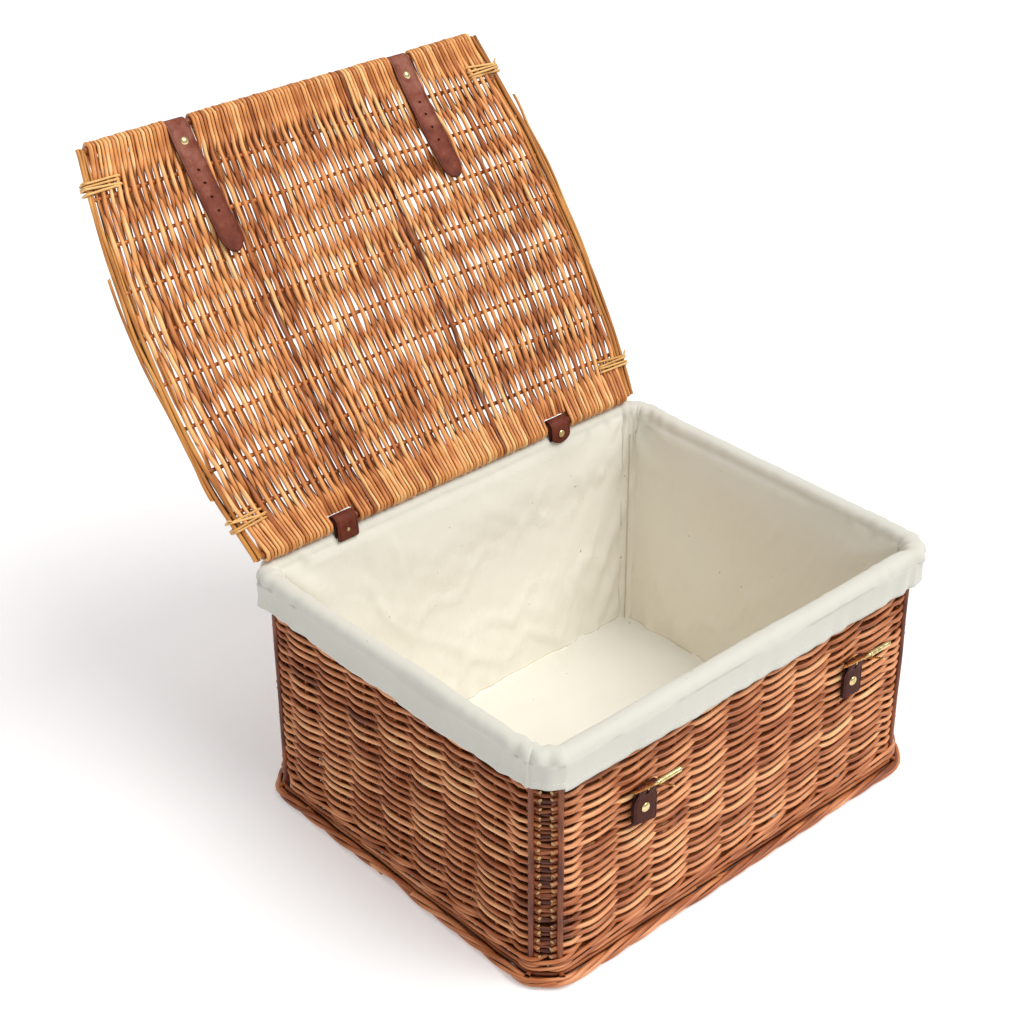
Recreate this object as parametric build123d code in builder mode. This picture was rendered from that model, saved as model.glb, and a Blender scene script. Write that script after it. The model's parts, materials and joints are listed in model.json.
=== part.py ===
from build123d import *
import math
import os

# Open willow hamper with a hinged lid, leather straps and buckles, and a cloth lining.
# Millimetres.  +Z up, +X to the right along the long front wall, -Y towards the front.
# Origin: middle of the base, on the floor.  The lid stands open at rest.

os.makedirs("parts", exist_ok=True)

# ------------------------------------------------------------------ driving dimensions
GAP = 0.1                          # play between neighbouring pieces

# Basket
HALF_X, HALF_Y = 260.0, 210.0      # outer planes of the woven walls
CORNER = 22.0                      # leg of the cut corner at the outer plane
WALL_T = 13.0                      # woven wall thickness, stake plus strokes both sides
BASE_H = 13.0                      # height of the foot border
FLOOR_T = 10.0                     # woven base thickness
FOOT_OUT = 9.0                     # foot border stands proud of the walls
FOOT_ROUND = 5.0
WALE_Z = 30.0                      # top of the upsett wale
WALE_OUT = 1.5                     # wale stands proud of the walls
WALL_TOP = 222.0                   # walls end, rim border begins
RIM_TOP = 267.2                    # top of the rim border, under the cuff
RIM_OUT = 2.2                      # rim border stands proud of the walls
SPLIT_X, SPLIT_Y = 229.0, 179.0    # where a flat wall ends and a corner begins

# Sticks, stakes and posts in the weave
FLOOR_STICK_R, FLOOR_STICK_BORE_R = 3.0, 3.1
FLOOR_STICK_HALF = 196.0           # half length, along Y
FLOOR_STICK_PITCH = 65.0
STAKE_R, STAKE_BORE_R = 2.4, 2.5
POST_R, POST_BORE_R = 3.4, 3.5
STAKE_BORE_Z = 3.0                 # bottom of the bores in the foot border
STAKE_Z = STAKE_BORE_Z + GAP
STAKE_L = RIM_TOP - 1.2 - STAKE_Z
POST_X, POST_Y = 235.3, 185.3      # posts nearest the corners, along long and short walls
LONG_BAYS, SHORT_BAYS = 10, 8      # stake spaces between posts

# Cloth lining
LINER_T = 1.2
LINER_FLOOR_X, LINER_FLOOR_Y, LINER_FLOOR_CORNER = 221.0, 172.0, 6
LINER_TOP_X, LINER_TOP_Y, LINER_TOP_CORNER = 245.3, 195.3, 16
LINER_FLOOR_Z = 10.4
LINER_Z0, LINER_Z1 = LINER_FLOOR_Z + LINER_T + 0.2, 262.0
SEAM_NORMAL = (0.69, 0.724)        # x and y sizes of a corner seam's normal
SEAM_SHIFT = 0.1                   # each panel ends this far from the seam
CUFF_BOTTOM, CUFF_TOP = 225.0, 270.0
CUFF_JOIN_Z = 262.3                # skirt below, cap over the rim above
CUFF_OUT, CUFF_IN = 5.0, -14.6     # outer and inner faces, measured from the wall plane
CUFF_ROUND = 4.8
CUFF_PLAY = 0.2                    # clearance over the rim border

# Lid: depth runs from the hinge axis to the front edge, height out of the inner face
HINGE_Y, HINGE_Z = 203.0, 279.0    # lid hinge axis
LID_OPEN = 125.0                   # opening angle at rest, from closed
LID_D = 422.0                      # hinge axis to front rod axis
LID_T = 13.0                       # woven lid thickness
ROLL_R = 8.5                       # weave wrapped round the edge rods
ROD_R, ROD_BORE_R = 4.0, 4.08      # edge rods
ROD_END_GAP = 1.4                  # edge rod end to side rod
SIDE_R = 4.5                       # side rods
SIDE_ENDS = (-4.0, LID_D + 7.0)    # depths where the side rods begin and end
LID_LEFT = (-257.0, -281.0, -260.0)    # side rod axis at hinge, middle, front edge
LID_RIGHT = (249.0, 264.0, 239.0)
LID_STICKS = 8
STICK_R, STICK_BORE_R = 2.4, 2.5
STICK_END_GAP = 0.5
WEAVE_INSET = 7.4                  # weave edge, in from the side rod axis
BAND_GAP_W, BAND_GAP_D = 29.0, 16.0     # opening in the weave round a hinge band
STRAP_GAP_W, STRAP_GAP_D = 28.0, 30.0   # and under a strap
LASHING_R, LASHING_BORE_R = SIDE_R + 2.3, SIDE_R + 0.15
LASHING_FROM, LASHING_TO = 10.0, 42.0   # distances from the lid's front or hinge axis

# Hinge bands
BAND_X = (-152.0, 139.0)
BAND_W, BAND_T = 26.0, 2.2
BAND_SLOT_W = BAND_W + 0.4
ANCHOR_Y0, ANCHOR_Y1 = 196.9, 199.1    # band leg inside the rim
ANCHOR_Z0, ANCHOR_Z1 = 232.0, 276.5
RIM_SLOT_Y0, RIM_SLOT_Y1 = 196.0, ANCHOR_Y1 + 0.2
RIM_SLOT_Z, RIM_SLOT_H = 250.0, 38.0   # middle and height
CUFF_SLOT_D, CUFF_SLOT_Z, CUFF_SLOT_H = 2.6, 266.5, 9.0
# Tongue on the inside of the rim: y, z
TONGUE = [
    (193.0, 262.0), (195.2, 262.0), (195.2, 266.5), (198.2, 275.0),
    (199.6, 279.0), (196.72, 279.0), (196.0, 275.5), (193.0, 266.5),
]
TONGUE_END_Z, TONGUE_END_RISE = 271.0, 9.0     # rounded lower end of the tongue
HINGE_RIVET_Y, HINGE_RIVET_Z = 194.95, 272.2   # on the tongue's face
HINGE_RIVET_NY, HINGE_RIVET_NZ = -0.949, 0.316  # direction out of the tongue's face
HINGE_RIVET_R, HINGE_RIVET_BORE_R = 1.2, 1.3
# Hinge rivets: x, head radius, head thickness
HINGE_RIVETS = ((BAND_X[0], 1.9, 0.4), (BAND_X[1], 3.9, 1.2))

# Lid straps
STRAP_X = (-149.0, 133.0)
STRAP_W, STRAP_T, STRAP_L = 25.0, 2.4, 138.0
STRAP_BASE = LID_T / 2 + 0.4       # strap rests just clear of the weave
STRAP_HOLES = (50.0, 64.0, 79.0, 94.0)     # back from the front rod axis
STRAP_HOLE_R = 1.75
STRAP_RIVET = 19.0                 # back from the front rod axis
STRAP_RIVET_R, STRAP_RIVET_BORE_R = 1.7, 1.8

# Buckle tabs on the front wall
TAB_X = (-140.0, 148.0)
TAB_W, TAB_NECK_W, TAB_T = 30.0, 24.0, 1.9
TAB_BOTTOM, TAB_RIVET_Z = 140.0, 157.5
TAB_BACK_Y = -210.3
TAB_FRONT_Y = TAB_BACK_Y - 2 * TAB_T - GAP
TAB_RIVET_R, TAB_RIVET_BORE_R = 1.9, 2.0
TAB_RIVET_END_Y = -206.3
RIVET_LIFT = 0.05                  # rivet head to leather

# Buckles
HEEL_Y, HEEL_Z = -213.9, 181.0     # buckle heel bar axis
WIRE_R, WIRE_BORE_R = 1.6, 1.68
FRAME_L, FRAME_W = 40.0, 31.2      # heel bar to roller bar, side bar axis to side bar axis
FRAME_UP = 46.0                    # buckle frame elevation at rest
PRONG_UP = 30.0                    # prong elevation at rest
PRONG_L, PRONG_R = 40.5, 1.2
PRONG_START = 2.4                  # shaft begins this far from the heel bar axis
PRONG_EYE_R, PRONG_EYE_W = 3.3, 3.4
ROLLER_R, ROLLER_L = 2.6, 27.0


# ------------------------------------------------------------------ helpers
def save(name, builder):
    builder.part.label = name
    export_step(builder.part, f"parts/{name}.step")


def save_pair(name, build, places):
    """Build and save the left and right copies of a piece."""
    for side, x in zip(("left", "right"), places):
        with BuildPart() as piece:
            build(x)
        save(f"{name}_{side}", piece)


def plan(offset, half_x=HALF_X, half_y=HALF_Y, corner=CORNER):
    """Corner points of the eight-sided plan outline, moved out by offset."""
    x, y = half_x + offset, half_y + offset
    cut = corner + offset * (2 - math.sqrt(2))
    return [(x - cut, -y), (x, -y + cut), (x, y - cut), (x - cut, y),
            (-x + cut, y), (-x, y - cut), (-x, -y + cut), (-x + cut, -y)]


def face_of(points, mode=Mode.ADD):
    with BuildLine() as outline:
        Polyline(*points, close=True)
    make_face(outline.line.edges(), mode=mode)


def ring(z0, z1, outer, inner):
    """Closed wall ring between two offsets of the plan outline."""
    with BuildSketch(Plane.XY.offset(z0)) as section:
        face_of(plan(outer))
        face_of(plan(inner), Mode.SUBTRACT)
    extrude(section.sketch, amount=z1 - z0)


def rod(plane, radius, length, bore=None, spots=((0, 0),), mode=Mode.ADD):
    """Round bars or tubes along the plane's normal, one at each spot."""
    with BuildSketch(plane) as section:
        with Locations(*spots):
            Circle(radius)
            if bore:
                Circle(bore, mode=Mode.SUBTRACT)
    extrude(section.sketch, amount=length, mode=mode)


def cone(start_plane, start_r, end_plane, end_r):
    with BuildSketch(start_plane) as start:
        Circle(start_r)
    with BuildSketch(end_plane) as end:
        Circle(end_r)
    loft([start.sketch, end.sketch])


def rivet_head(plane, radius, edge, top_r, height):
    """Flat disc of thickness edge, topped by a cone up to height."""
    rod(plane, radius, edge)
    cone(plane.offset(edge), radius, plane.offset(height), top_r)


def across(x, y, z):
    """Plane facing +X: local x is Y, local y is Z."""
    return Plane(origin=(x, y, z), x_dir=(0, 1, 0), z_dir=(1, 0, 0))


# ------------------------------------------------------------------ stake places
WALL_MID_X, WALL_MID_Y = HALF_X - WALL_T / 2, HALF_Y - WALL_T / 2
POSTS = [(sx * x, sy * y) for sx in (-1, 1) for sy in (-1, 1)
         for x, y in ((POST_X, WALL_MID_Y), (WALL_MID_X, POST_Y))]
STAKES = [(POST_X * (-1 + 2 * i / LONG_BAYS), sy * WALL_MID_Y)
          for i in range(1, LONG_BAYS) for sy in (-1, 1)]
STAKES += [(sx * WALL_MID_X, POST_Y * (-1 + 2 * i / SHORT_BAYS))
           for i in range(1, SHORT_BAYS) for sx in (-1, 1)]


def stake_bores(z0, z1):
    with BuildSketch(Plane.XY.offset(z0)) as bores:
        with Locations(*STAKES):
            Circle(STAKE_BORE_R)
        with Locations(*POSTS):
            Circle(POST_BORE_R)
    extrude(bores.sketch, amount=z1 - z0, mode=Mode.SUBTRACT)


# ------------------------------------------------------------------ lid frame of reference
LID_RUN, LID_RISE = -math.cos(math.radians(LID_OPEN)), math.sin(math.radians(LID_OPEN))
DEPTH_DIR = (0, LID_RUN, LID_RISE)     # in the lid, from the hinge to the front edge
INWARD_DIR = (0, -LID_RISE, LID_RUN)   # out of the lid's inner face


def lid_point(x, depth, height=0.0):
    return (x, HINGE_Y + depth * LID_RUN - height * LID_RISE,
            HINGE_Z + depth * LID_RISE + height * LID_RUN)


def lid_plane(x=0.0, depth=0.0, height=0.0):
    """Plane parallel to the lid: local x is X, local y is depth."""
    return Plane(origin=lid_point(x, depth, height), x_dir=(1, 0, 0), z_dir=INWARD_DIR)


def lid_section(x):
    """Plane across the lid at x: local x runs hinge to front edge, local y inwards."""
    return Plane(origin=lid_point(x, 0), x_dir=DEPTH_DIR, z_dir=(1, 0, 0))


def side_x(side, depth, inset=0.0):
    """x of a side rod's axis at a depth, moved in towards the lid's middle."""
    # The axis is the circle through the side's three points.
    (x0, y0), (x1, y1), (x2, y2) = zip(side, (0.0, LID_D / 2, LID_D))
    square0, square1, square2 = x0**2 + y0**2, x1**2 + y1**2, x2**2 + y2**2
    divisor = 2 * (x0 * (y1 - y2) + x1 * (y2 - y0) + x2 * (y0 - y1))
    centre_x = (square0 * (y1 - y2) + square1 * (y2 - y0) + square2 * (y0 - y1)) / divisor
    centre_y = (square0 * (x2 - x1) + square1 * (x0 - x2) + square2 * (x1 - x0)) / divisor
    radius = math.hypot(x0 - centre_x, y0 - centre_y) - inset
    sign = -1 if x1 < 0 else 1
    return centre_x + sign * math.sqrt(radius * radius - (depth - centre_y) ** 2)


# ------------------------------------------------------------------ base
FLOOR_STICKS = [(FLOOR_STICK_PITCH * i, FLOOR_T / 2) for i in range(-3, 4)]    # x, z

with BuildPart() as base_weave:
    with BuildSketch(Plane.XY):
        face_of(plan(-WALL_T - GAP))
    extrude(amount=FLOOR_T)
    bore_half = FLOOR_STICK_HALF + 1
    rod(Plane.XZ.offset(-bore_half), FLOOR_STICK_BORE_R, 2 * bore_half,
        spots=FLOOR_STICKS, mode=Mode.SUBTRACT)
save("base_weave", base_weave)

with BuildPart() as base_sticks:
    rod(Plane.XZ.offset(-FLOOR_STICK_HALF), FLOOR_STICK_R, 2 * FLOOR_STICK_HALF,
        spots=FLOOR_STICKS)
save("base_sticks", base_sticks)


def outside_walls(point):
    """Distance of a point outside the plan outline of the walls."""
    x, y = abs(point.X), abs(point.Y)
    return max(x - HALF_X, y - HALF_Y, (x + y - (HALF_X + HALF_Y - CORNER)) / math.sqrt(2))


with BuildPart() as base_border:
    ring(0, BASE_H, FOOT_OUT, -WALL_T)
    # Only the outer top edges are rounded.
    top_edges = base_border.edges().filter_by(
        lambda e: e.center().Z > BASE_H - 0.1 and outside_walls(e.center()) > 5)
    fillet(top_edges, FOOT_ROUND)
    stake_bores(STAKE_BORE_Z, BASE_H + 1)
save("base_border", base_border)

# ------------------------------------------------------------------ woven walls
with BuildPart() as bottom_wale:
    ring(BASE_H + GAP, WALE_Z, WALE_OUT, -WALL_T)
    stake_bores(BASE_H, WALE_Z + 1)
save("bottom_wale", bottom_wale)

WALL_Z0, WALL_Z1 = WALE_Z + GAP, WALL_TOP - GAP
WALL_MID_Z, WALL_H = (WALL_Z0 + WALL_Z1) / 2, WALL_Z1 - WALL_Z0


def flat_wall(x, y, length_x, length_y):
    with Locations((x, y, WALL_MID_Z)):
        Box(length_x, length_y, WALL_H)
    stake_bores(WALL_Z0 - 1, WALL_Z1 + 1)


with BuildPart() as wall_front:
    flat_wall(0, -WALL_MID_Y, 2 * SPLIT_X, WALL_T)
    rod(Plane.XZ.offset(HALF_Y + 1), TAB_RIVET_BORE_R, -5.0,
        spots=[(x, TAB_RIVET_Z) for x in TAB_X], mode=Mode.SUBTRACT)
save("wall_front", wall_front)

# Plain walls: name, middle x and y, length along X and Y
PLAIN_WALLS = (
    ("wall_back", 0, WALL_MID_Y, 2 * SPLIT_X, WALL_T),
    ("wall_left", -WALL_MID_X, 0, WALL_T, 2 * SPLIT_Y),
    ("wall_right", WALL_MID_X, 0, WALL_T, 2 * SPLIT_Y),
)
for name, *placing in PLAIN_WALLS:
    with BuildPart() as wall:
        flat_wall(*placing)
    save(name, wall)

with BuildPart() as corner_weave:
    ring(WALL_Z0, WALL_Z1, 0, -WALL_T)
    with Locations((0, 0, WALL_MID_Z)):
        Box(2 * (SPLIT_X + GAP), 2 * HALF_Y + 10, WALL_H + 2, mode=Mode.SUBTRACT)
        Box(2 * HALF_X + 10, 2 * (SPLIT_Y + GAP), WALL_H + 2, mode=Mode.SUBTRACT)
    stake_bores(WALL_Z0 - 1, WALL_Z1 + 1)
save("corner_weave", corner_weave)

with BuildPart() as wall_stakes:
    rod(Plane.XY.offset(STAKE_Z), STAKE_R, STAKE_L, spots=STAKES)
save("wall_stakes", wall_stakes)

with BuildPart() as corner_posts:
    rod(Plane.XY.offset(STAKE_Z), POST_R, STAKE_L, spots=POSTS)
save("corner_posts", corner_posts)

with BuildPart() as rim_border:
    ring(WALL_TOP, RIM_TOP, RIM_OUT, -WALL_T)
    stake_bores(WALL_TOP - 1, RIM_TOP + 1)
    with Locations(*[(x, (RIM_SLOT_Y0 + RIM_SLOT_Y1) / 2, RIM_SLOT_Z) for x in BAND_X]):
        Box(BAND_SLOT_W, RIM_SLOT_Y1 - RIM_SLOT_Y0, RIM_SLOT_H, mode=Mode.SUBTRACT)
save("rim_border", rim_border)

# ------------------------------------------------------------------ cloth lining
with BuildPart() as liner_floor:
    with BuildSketch(Plane.XY.offset(LINER_FLOOR_Z)):
        face_of(plan(0, LINER_FLOOR_X, LINER_FLOOR_Y, LINER_FLOOR_CORNER))
    extrude(amount=LINER_T)
save("liner_floor", liner_floor)


def liner_funnel():
    """Lining walls all round, a little smaller at the floor than at the rim."""
    for grow, mode in ((LINER_T, Mode.ADD), (0.0, Mode.SUBTRACT)):
        with BuildSketch(Plane.XY.offset(LINER_Z0)) as low:
            face_of(plan(grow, LINER_FLOOR_X, LINER_FLOOR_Y, LINER_FLOOR_CORNER))
        with BuildSketch(Plane.XY.offset(LINER_Z1)) as high:
            face_of(plan(grow, LINER_TOP_X, LINER_TOP_Y, LINER_TOP_CORNER))
        loft([low.sketch, high.sketch], mode=mode)


def seam_plane(sx, sy, shift):
    """Plane through a vertical corner seam; its normal points to the short side."""
    length = math.hypot(*SEAM_NORMAL)
    normal_x, normal_y = sx * SEAM_NORMAL[0] / length, -sy * SEAM_NORMAL[1] / length
    return Plane(origin=(sx * LINER_FLOOR_X + normal_x * shift,
                         sy * LINER_FLOOR_Y + normal_y * shift, 0),
                 z_dir=(normal_x, normal_y, 0))


# Lining panels: name, signs of x and y at the two seams, seam shift, side kept
LINER_PANELS = (
    ("liner_front", ((1, -1), (-1, -1)), -SEAM_SHIFT, Keep.BOTTOM),
    ("liner_back", ((1, 1), (-1, 1)), -SEAM_SHIFT, Keep.BOTTOM),
    ("liner_right", ((1, -1), (1, 1)), SEAM_SHIFT, Keep.TOP),
    ("liner_left", ((-1, -1), (-1, 1)), SEAM_SHIFT, Keep.TOP),
)
for name, seams, shift, kept in LINER_PANELS:
    with BuildPart() as panel:
        liner_funnel()
        for sx, sy in seams:
            split(bisect_by=seam_plane(sx, sy, shift), keep=kept)
    save(name, panel)

with BuildPart() as liner_cuff:
    ring(CUFF_JOIN_Z, CUFF_TOP, CUFF_OUT, CUFF_IN)
    fillet(liner_cuff.edges().group_by(Axis.Z)[-1], CUFF_ROUND)
    # Hollow that fits over the rim border
    with BuildSketch(Plane.XY.offset(LINER_Z1)):
        face_of(plan(RIM_OUT + CUFF_PLAY))
        face_of(plan(-WALL_T - GAP), Mode.SUBTRACT)
    extrude(amount=RIM_TOP + CUFF_PLAY - LINER_Z1, mode=Mode.SUBTRACT)
    ring(CUFF_BOTTOM, CUFF_JOIN_Z, CUFF_OUT, RIM_OUT + CUFF_PLAY)
    with Locations(*[(x, (ANCHOR_Y0 + ANCHOR_Y1) / 2, CUFF_SLOT_Z) for x in BAND_X]):
        Box(BAND_SLOT_W, CUFF_SLOT_D, CUFF_SLOT_H, mode=Mode.SUBTRACT)
save("liner_cuff", liner_cuff)


# ------------------------------------------------------------------ hinge bands
def hinge_rivet_plane(x, out=0.0):
    """Plane on the tongue's face at the rivet, moved out of the face."""
    return Plane(origin=(x, HINGE_RIVET_Y + out * HINGE_RIVET_NY,
                         HINGE_RIVET_Z + out * HINGE_RIVET_NZ),
                 x_dir=(1, 0, 0), z_dir=(0, HINGE_RIVET_NY, HINGE_RIVET_NZ))


def hinge_band(x):
    """Loop round the hinge rod, a tongue inside the rim and a leg down into the rim."""
    half = BAND_W / 2
    with BuildSketch(Plane.YZ.offset(x - half)) as profile:
        with Locations((HINGE_Y, HINGE_Z)):
            Circle(ROD_BORE_R + BAND_T)
        face_of(TONGUE)
        face_of([(ANCHOR_Y0, ANCHOR_Z0), (ANCHOR_Y1, ANCHOR_Z0),
                 (ANCHOR_Y1, ANCHOR_Z1), (ANCHOR_Y0, ANCHOR_Z1)])
        with Locations((HINGE_Y, HINGE_Z)):
            Circle(ROD_BORE_R, mode=Mode.SUBTRACT)
    extrude(profile.sketch, amount=BAND_W)
    rod(hinge_rivet_plane(x, 1.0), HINGE_RIVET_BORE_R, -5.2, mode=Mode.SUBTRACT)

    # Waste round the tongue's lower end
    waste_z0, waste_z1 = TONGUE[0][1] - 1, TONGUE_END_Z
    waste = [(x - half - 1, waste_z0), (x - half - 1, waste_z1), (x - half, waste_z1)]
    waste += [(x - half * math.cos(math.radians(a)),
               waste_z1 - TONGUE_END_RISE * math.sin(math.radians(a)))
              for a in range(10, 180, 10)]
    waste += [(x + half, waste_z1), (x + half + 1, waste_z1), (x + half + 1, waste_z0)]
    with BuildSketch(Plane.XZ.offset(-196.6)) as end_cut:
        face_of(waste)
    extrude(end_cut.sketch, amount=5, mode=Mode.SUBTRACT)


save_pair("hinge_band", hinge_band, BAND_X)

with BuildPart() as hinge_rivets:
    for x, head_r, head_t in HINGE_RIVETS:
        rod(hinge_rivet_plane(x, 0.22), head_r, head_t)
        # Shank, in both directions from the tongue's face
        rod(hinge_rivet_plane(x), HINGE_RIVET_R, -4.0)
        rod(hinge_rivet_plane(x), HINGE_RIVET_R, 0.4)
save("hinge_rivets", hinge_rivets)


# ------------------------------------------------------------------ buckle tabs and buckles
def buckle_tab(x):
    """Folded leather tab: flat back leg, loop round the heel bar, front leg."""
    loop_r = WIRE_BORE_R + TAB_T
    back, front = TAB_BACK_Y - HEEL_Y, TAB_FRONT_Y - HEEL_Y
    bottom = TAB_BOTTOM - HEEL_Z
    with BuildSketch(across(x - TAB_W / 2, HEEL_Y, HEEL_Z)) as profile:
        Circle(loop_r)
        face_of([(back, 0), (back - TAB_T, 0), (back - TAB_T, bottom), (back, bottom)])
        face_of([(-loop_r, 0), (-WIRE_BORE_R, 0), (front + TAB_T, -13.0),
                 (front + TAB_T, bottom), (front, bottom), (front, -13.5)])
        Circle(WIRE_BORE_R, mode=Mode.SUBTRACT)
    extrude(profile.sketch, amount=TAB_W)
    # Narrower neck, then the slot for the prong
    for side in (-1, 1):
        with Locations((x + side * (TAB_NECK_W / 2 + 5), HEEL_Y, HEEL_Z)):
            Box(10, 20, 18, mode=Mode.SUBTRACT)
    with Locations((x, HEEL_Y, HEEL_Z - 1.5)):
        Box(4.6, 20, 14, mode=Mode.SUBTRACT)
    rod(Plane.XZ.offset(HALF_Y + 10), TAB_RIVET_BORE_R, -11,
        spots=[(x, TAB_RIVET_Z)], mode=Mode.SUBTRACT)


def buckle_dir(elevation):
    """Direction forwards and up from the heel bar."""
    angle = math.radians(elevation)
    return (0, -math.cos(angle), math.sin(angle))


def buckle_point(x, distance, elevation):
    _, run, rise = buckle_dir(elevation)
    return (x, HEEL_Y + distance * run, HEEL_Z + distance * rise)


def buckle_frame(x):
    half = FRAME_W / 2
    for distance in (0, FRAME_L):
        rod(across(*buckle_point(x - half, distance, FRAME_UP)), WIRE_R, FRAME_W)
    for side_bar in (x - half, x + half):
        heel = buckle_point(side_bar, 0, FRAME_UP)
        far = buckle_point(side_bar, FRAME_L, FRAME_UP)
        rod(Plane(origin=heel, x_dir=(1, 0, 0), z_dir=buckle_dir(FRAME_UP)), WIRE_R, FRAME_L)
        with Locations(heel, far):
            Sphere(WIRE_R)


def buckle_roller(x):
    rod(across(*buckle_point(x - ROLLER_L / 2, FRAME_L, FRAME_UP)), ROLLER_R, ROLLER_L,
        bore=WIRE_BORE_R)


def buckle_prong(x):
    """Eye round the heel bar and a tapered shaft."""
    rod(across(x - PRONG_EYE_W / 2, HEEL_Y, HEEL_Z), PRONG_EYE_R, PRONG_EYE_W,
        bore=WIRE_BORE_R)
    root, point = [Plane(origin=buckle_point(x, distance, PRONG_UP), x_dir=(1, 0, 0),
                         z_dir=buckle_dir(PRONG_UP))
                   for distance in (PRONG_START, PRONG_L)]
    cone(root, PRONG_R + 0.3, point, PRONG_R - 0.4)


save_pair("buckle_tab", buckle_tab, TAB_X)
save_pair("buckle_frame", buckle_frame, TAB_X)
save_pair("buckle_roller", buckle_roller, TAB_X)
save_pair("buckle_prong", buckle_prong, TAB_X)

with BuildPart() as tab_rivets:
    head_y = TAB_FRONT_Y - RIVET_LIFT
    for x in TAB_X:
        head_plane = Plane(origin=(x, head_y, TAB_RIVET_Z), x_dir=(1, 0, 0), z_dir=(0, -1, 0))
        rivet_head(head_plane, radius=5.0, edge=1.0, top_r=2.6, height=2.55)
        rod(head_plane, TAB_RIVET_R, head_y - TAB_RIVET_END_Y)
save("tab_rivets", tab_rivets)

# ------------------------------------------------------------------ lid frame and weave
for name, depth in (("lid_hinge_rod", 0), ("lid_front_rod", LID_D)):
    x0 = side_x(LID_LEFT, depth) + SIDE_R + ROD_END_GAP
    x1 = side_x(LID_RIGHT, depth) - SIDE_R - ROD_END_GAP
    with BuildPart() as edge_rod:
        rod(lid_section(x0), ROD_R, x1 - x0, spots=[(depth, 0)])
    save(name, edge_rod)

with BuildPart() as lid_side_rods:
    for side in (LID_LEFT, LID_RIGHT):
        points = [lid_point(side_x(side, depth), depth)
                  for depth in (SIDE_ENDS[0], LID_D / 2, SIDE_ENDS[1])]
        with BuildLine() as path:
            ThreePointArc(*points)
        with BuildSketch(Plane(origin=path.line @ 0, z_dir=path.line % 0)):
            Circle(SIDE_R)
        sweep(path=path.line)
save("lid_side_rods", lid_side_rods)

STICK_DEPTHS = [LID_D * i / (LID_STICKS + 1) for i in range(1, LID_STICKS + 1)]
with BuildPart() as lid_sticks:
    for depth in STICK_DEPTHS:
        x0 = side_x(LID_LEFT, depth, SIDE_R + STICK_END_GAP)
        x1 = side_x(LID_RIGHT, depth, SIDE_R + STICK_END_GAP)
        rod(lid_section(x0), STICK_R, x1 - x0, spots=[(depth, 0)])
save("lid_sticks", lid_sticks)


def box_points(x, half, y0, y1):
    return [(x - half, y0), (x + half, y0), (x + half, y1), (x - half, y1)]


with BuildPart() as lid_weave:
    with BuildSketch(lid_plane(height=-LID_T / 2)):
        left = [(side_x(LID_LEFT, y, WEAVE_INSET), y) for y in (0, LID_D / 2, LID_D)]
        right = [(side_x(LID_RIGHT, y, WEAVE_INSET), y) for y in (LID_D, LID_D / 2, 0)]
        with BuildLine():
            ThreePointArc(*left)
            Line(left[2], right[0])
            ThreePointArc(*right)
            Line(right[2], left[0])
        make_face()
    extrude(amount=LID_T)
    # Rolled hinge and front edges
    for depth in (0, LID_D):
        x0, x1 = side_x(LID_LEFT, depth, WEAVE_INSET), side_x(LID_RIGHT, depth, WEAVE_INSET)
        rod(lid_section(x0), ROLL_R, x1 - x0, spots=[(depth, 0)])
    # Openings for the hinge bands and straps
    with BuildSketch(lid_plane(height=-20)):
        for x in BAND_X:
            face_of(box_points(x, BAND_GAP_W / 2, -20, BAND_GAP_D))
        for x in STRAP_X:
            face_of(box_points(x, STRAP_GAP_W / 2, LID_D - STRAP_GAP_D, LID_D + 20))
    extrude(amount=40, mode=Mode.SUBTRACT)
    with BuildSketch(lid_section(-300)):
        with Locations((0, 0), (LID_D, 0)):
            Circle(ROD_BORE_R)
        with Locations(*[(depth, 0) for depth in STICK_DEPTHS]):
            Circle(STICK_BORE_R)
    extrude(amount=600, mode=Mode.SUBTRACT)
save("lid_weave", lid_weave)

with BuildPart() as lid_corner_lashings:
    for side in (LID_LEFT, LID_RIGHT):
        for depth0, depth1 in ((LASHING_FROM, LASHING_TO),
                               (LID_D - LASHING_TO, LID_D - LASHING_FROM)):
            start = Vector(*lid_point(side_x(side, depth0), depth0))
            end = Vector(*lid_point(side_x(side, depth1), depth1))
            rod(Plane(origin=start, z_dir=end - start), LASHING_R, (end - start).length,
                bore=LASHING_BORE_R)
save("lid_corner_lashings", lid_corner_lashings)


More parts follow.
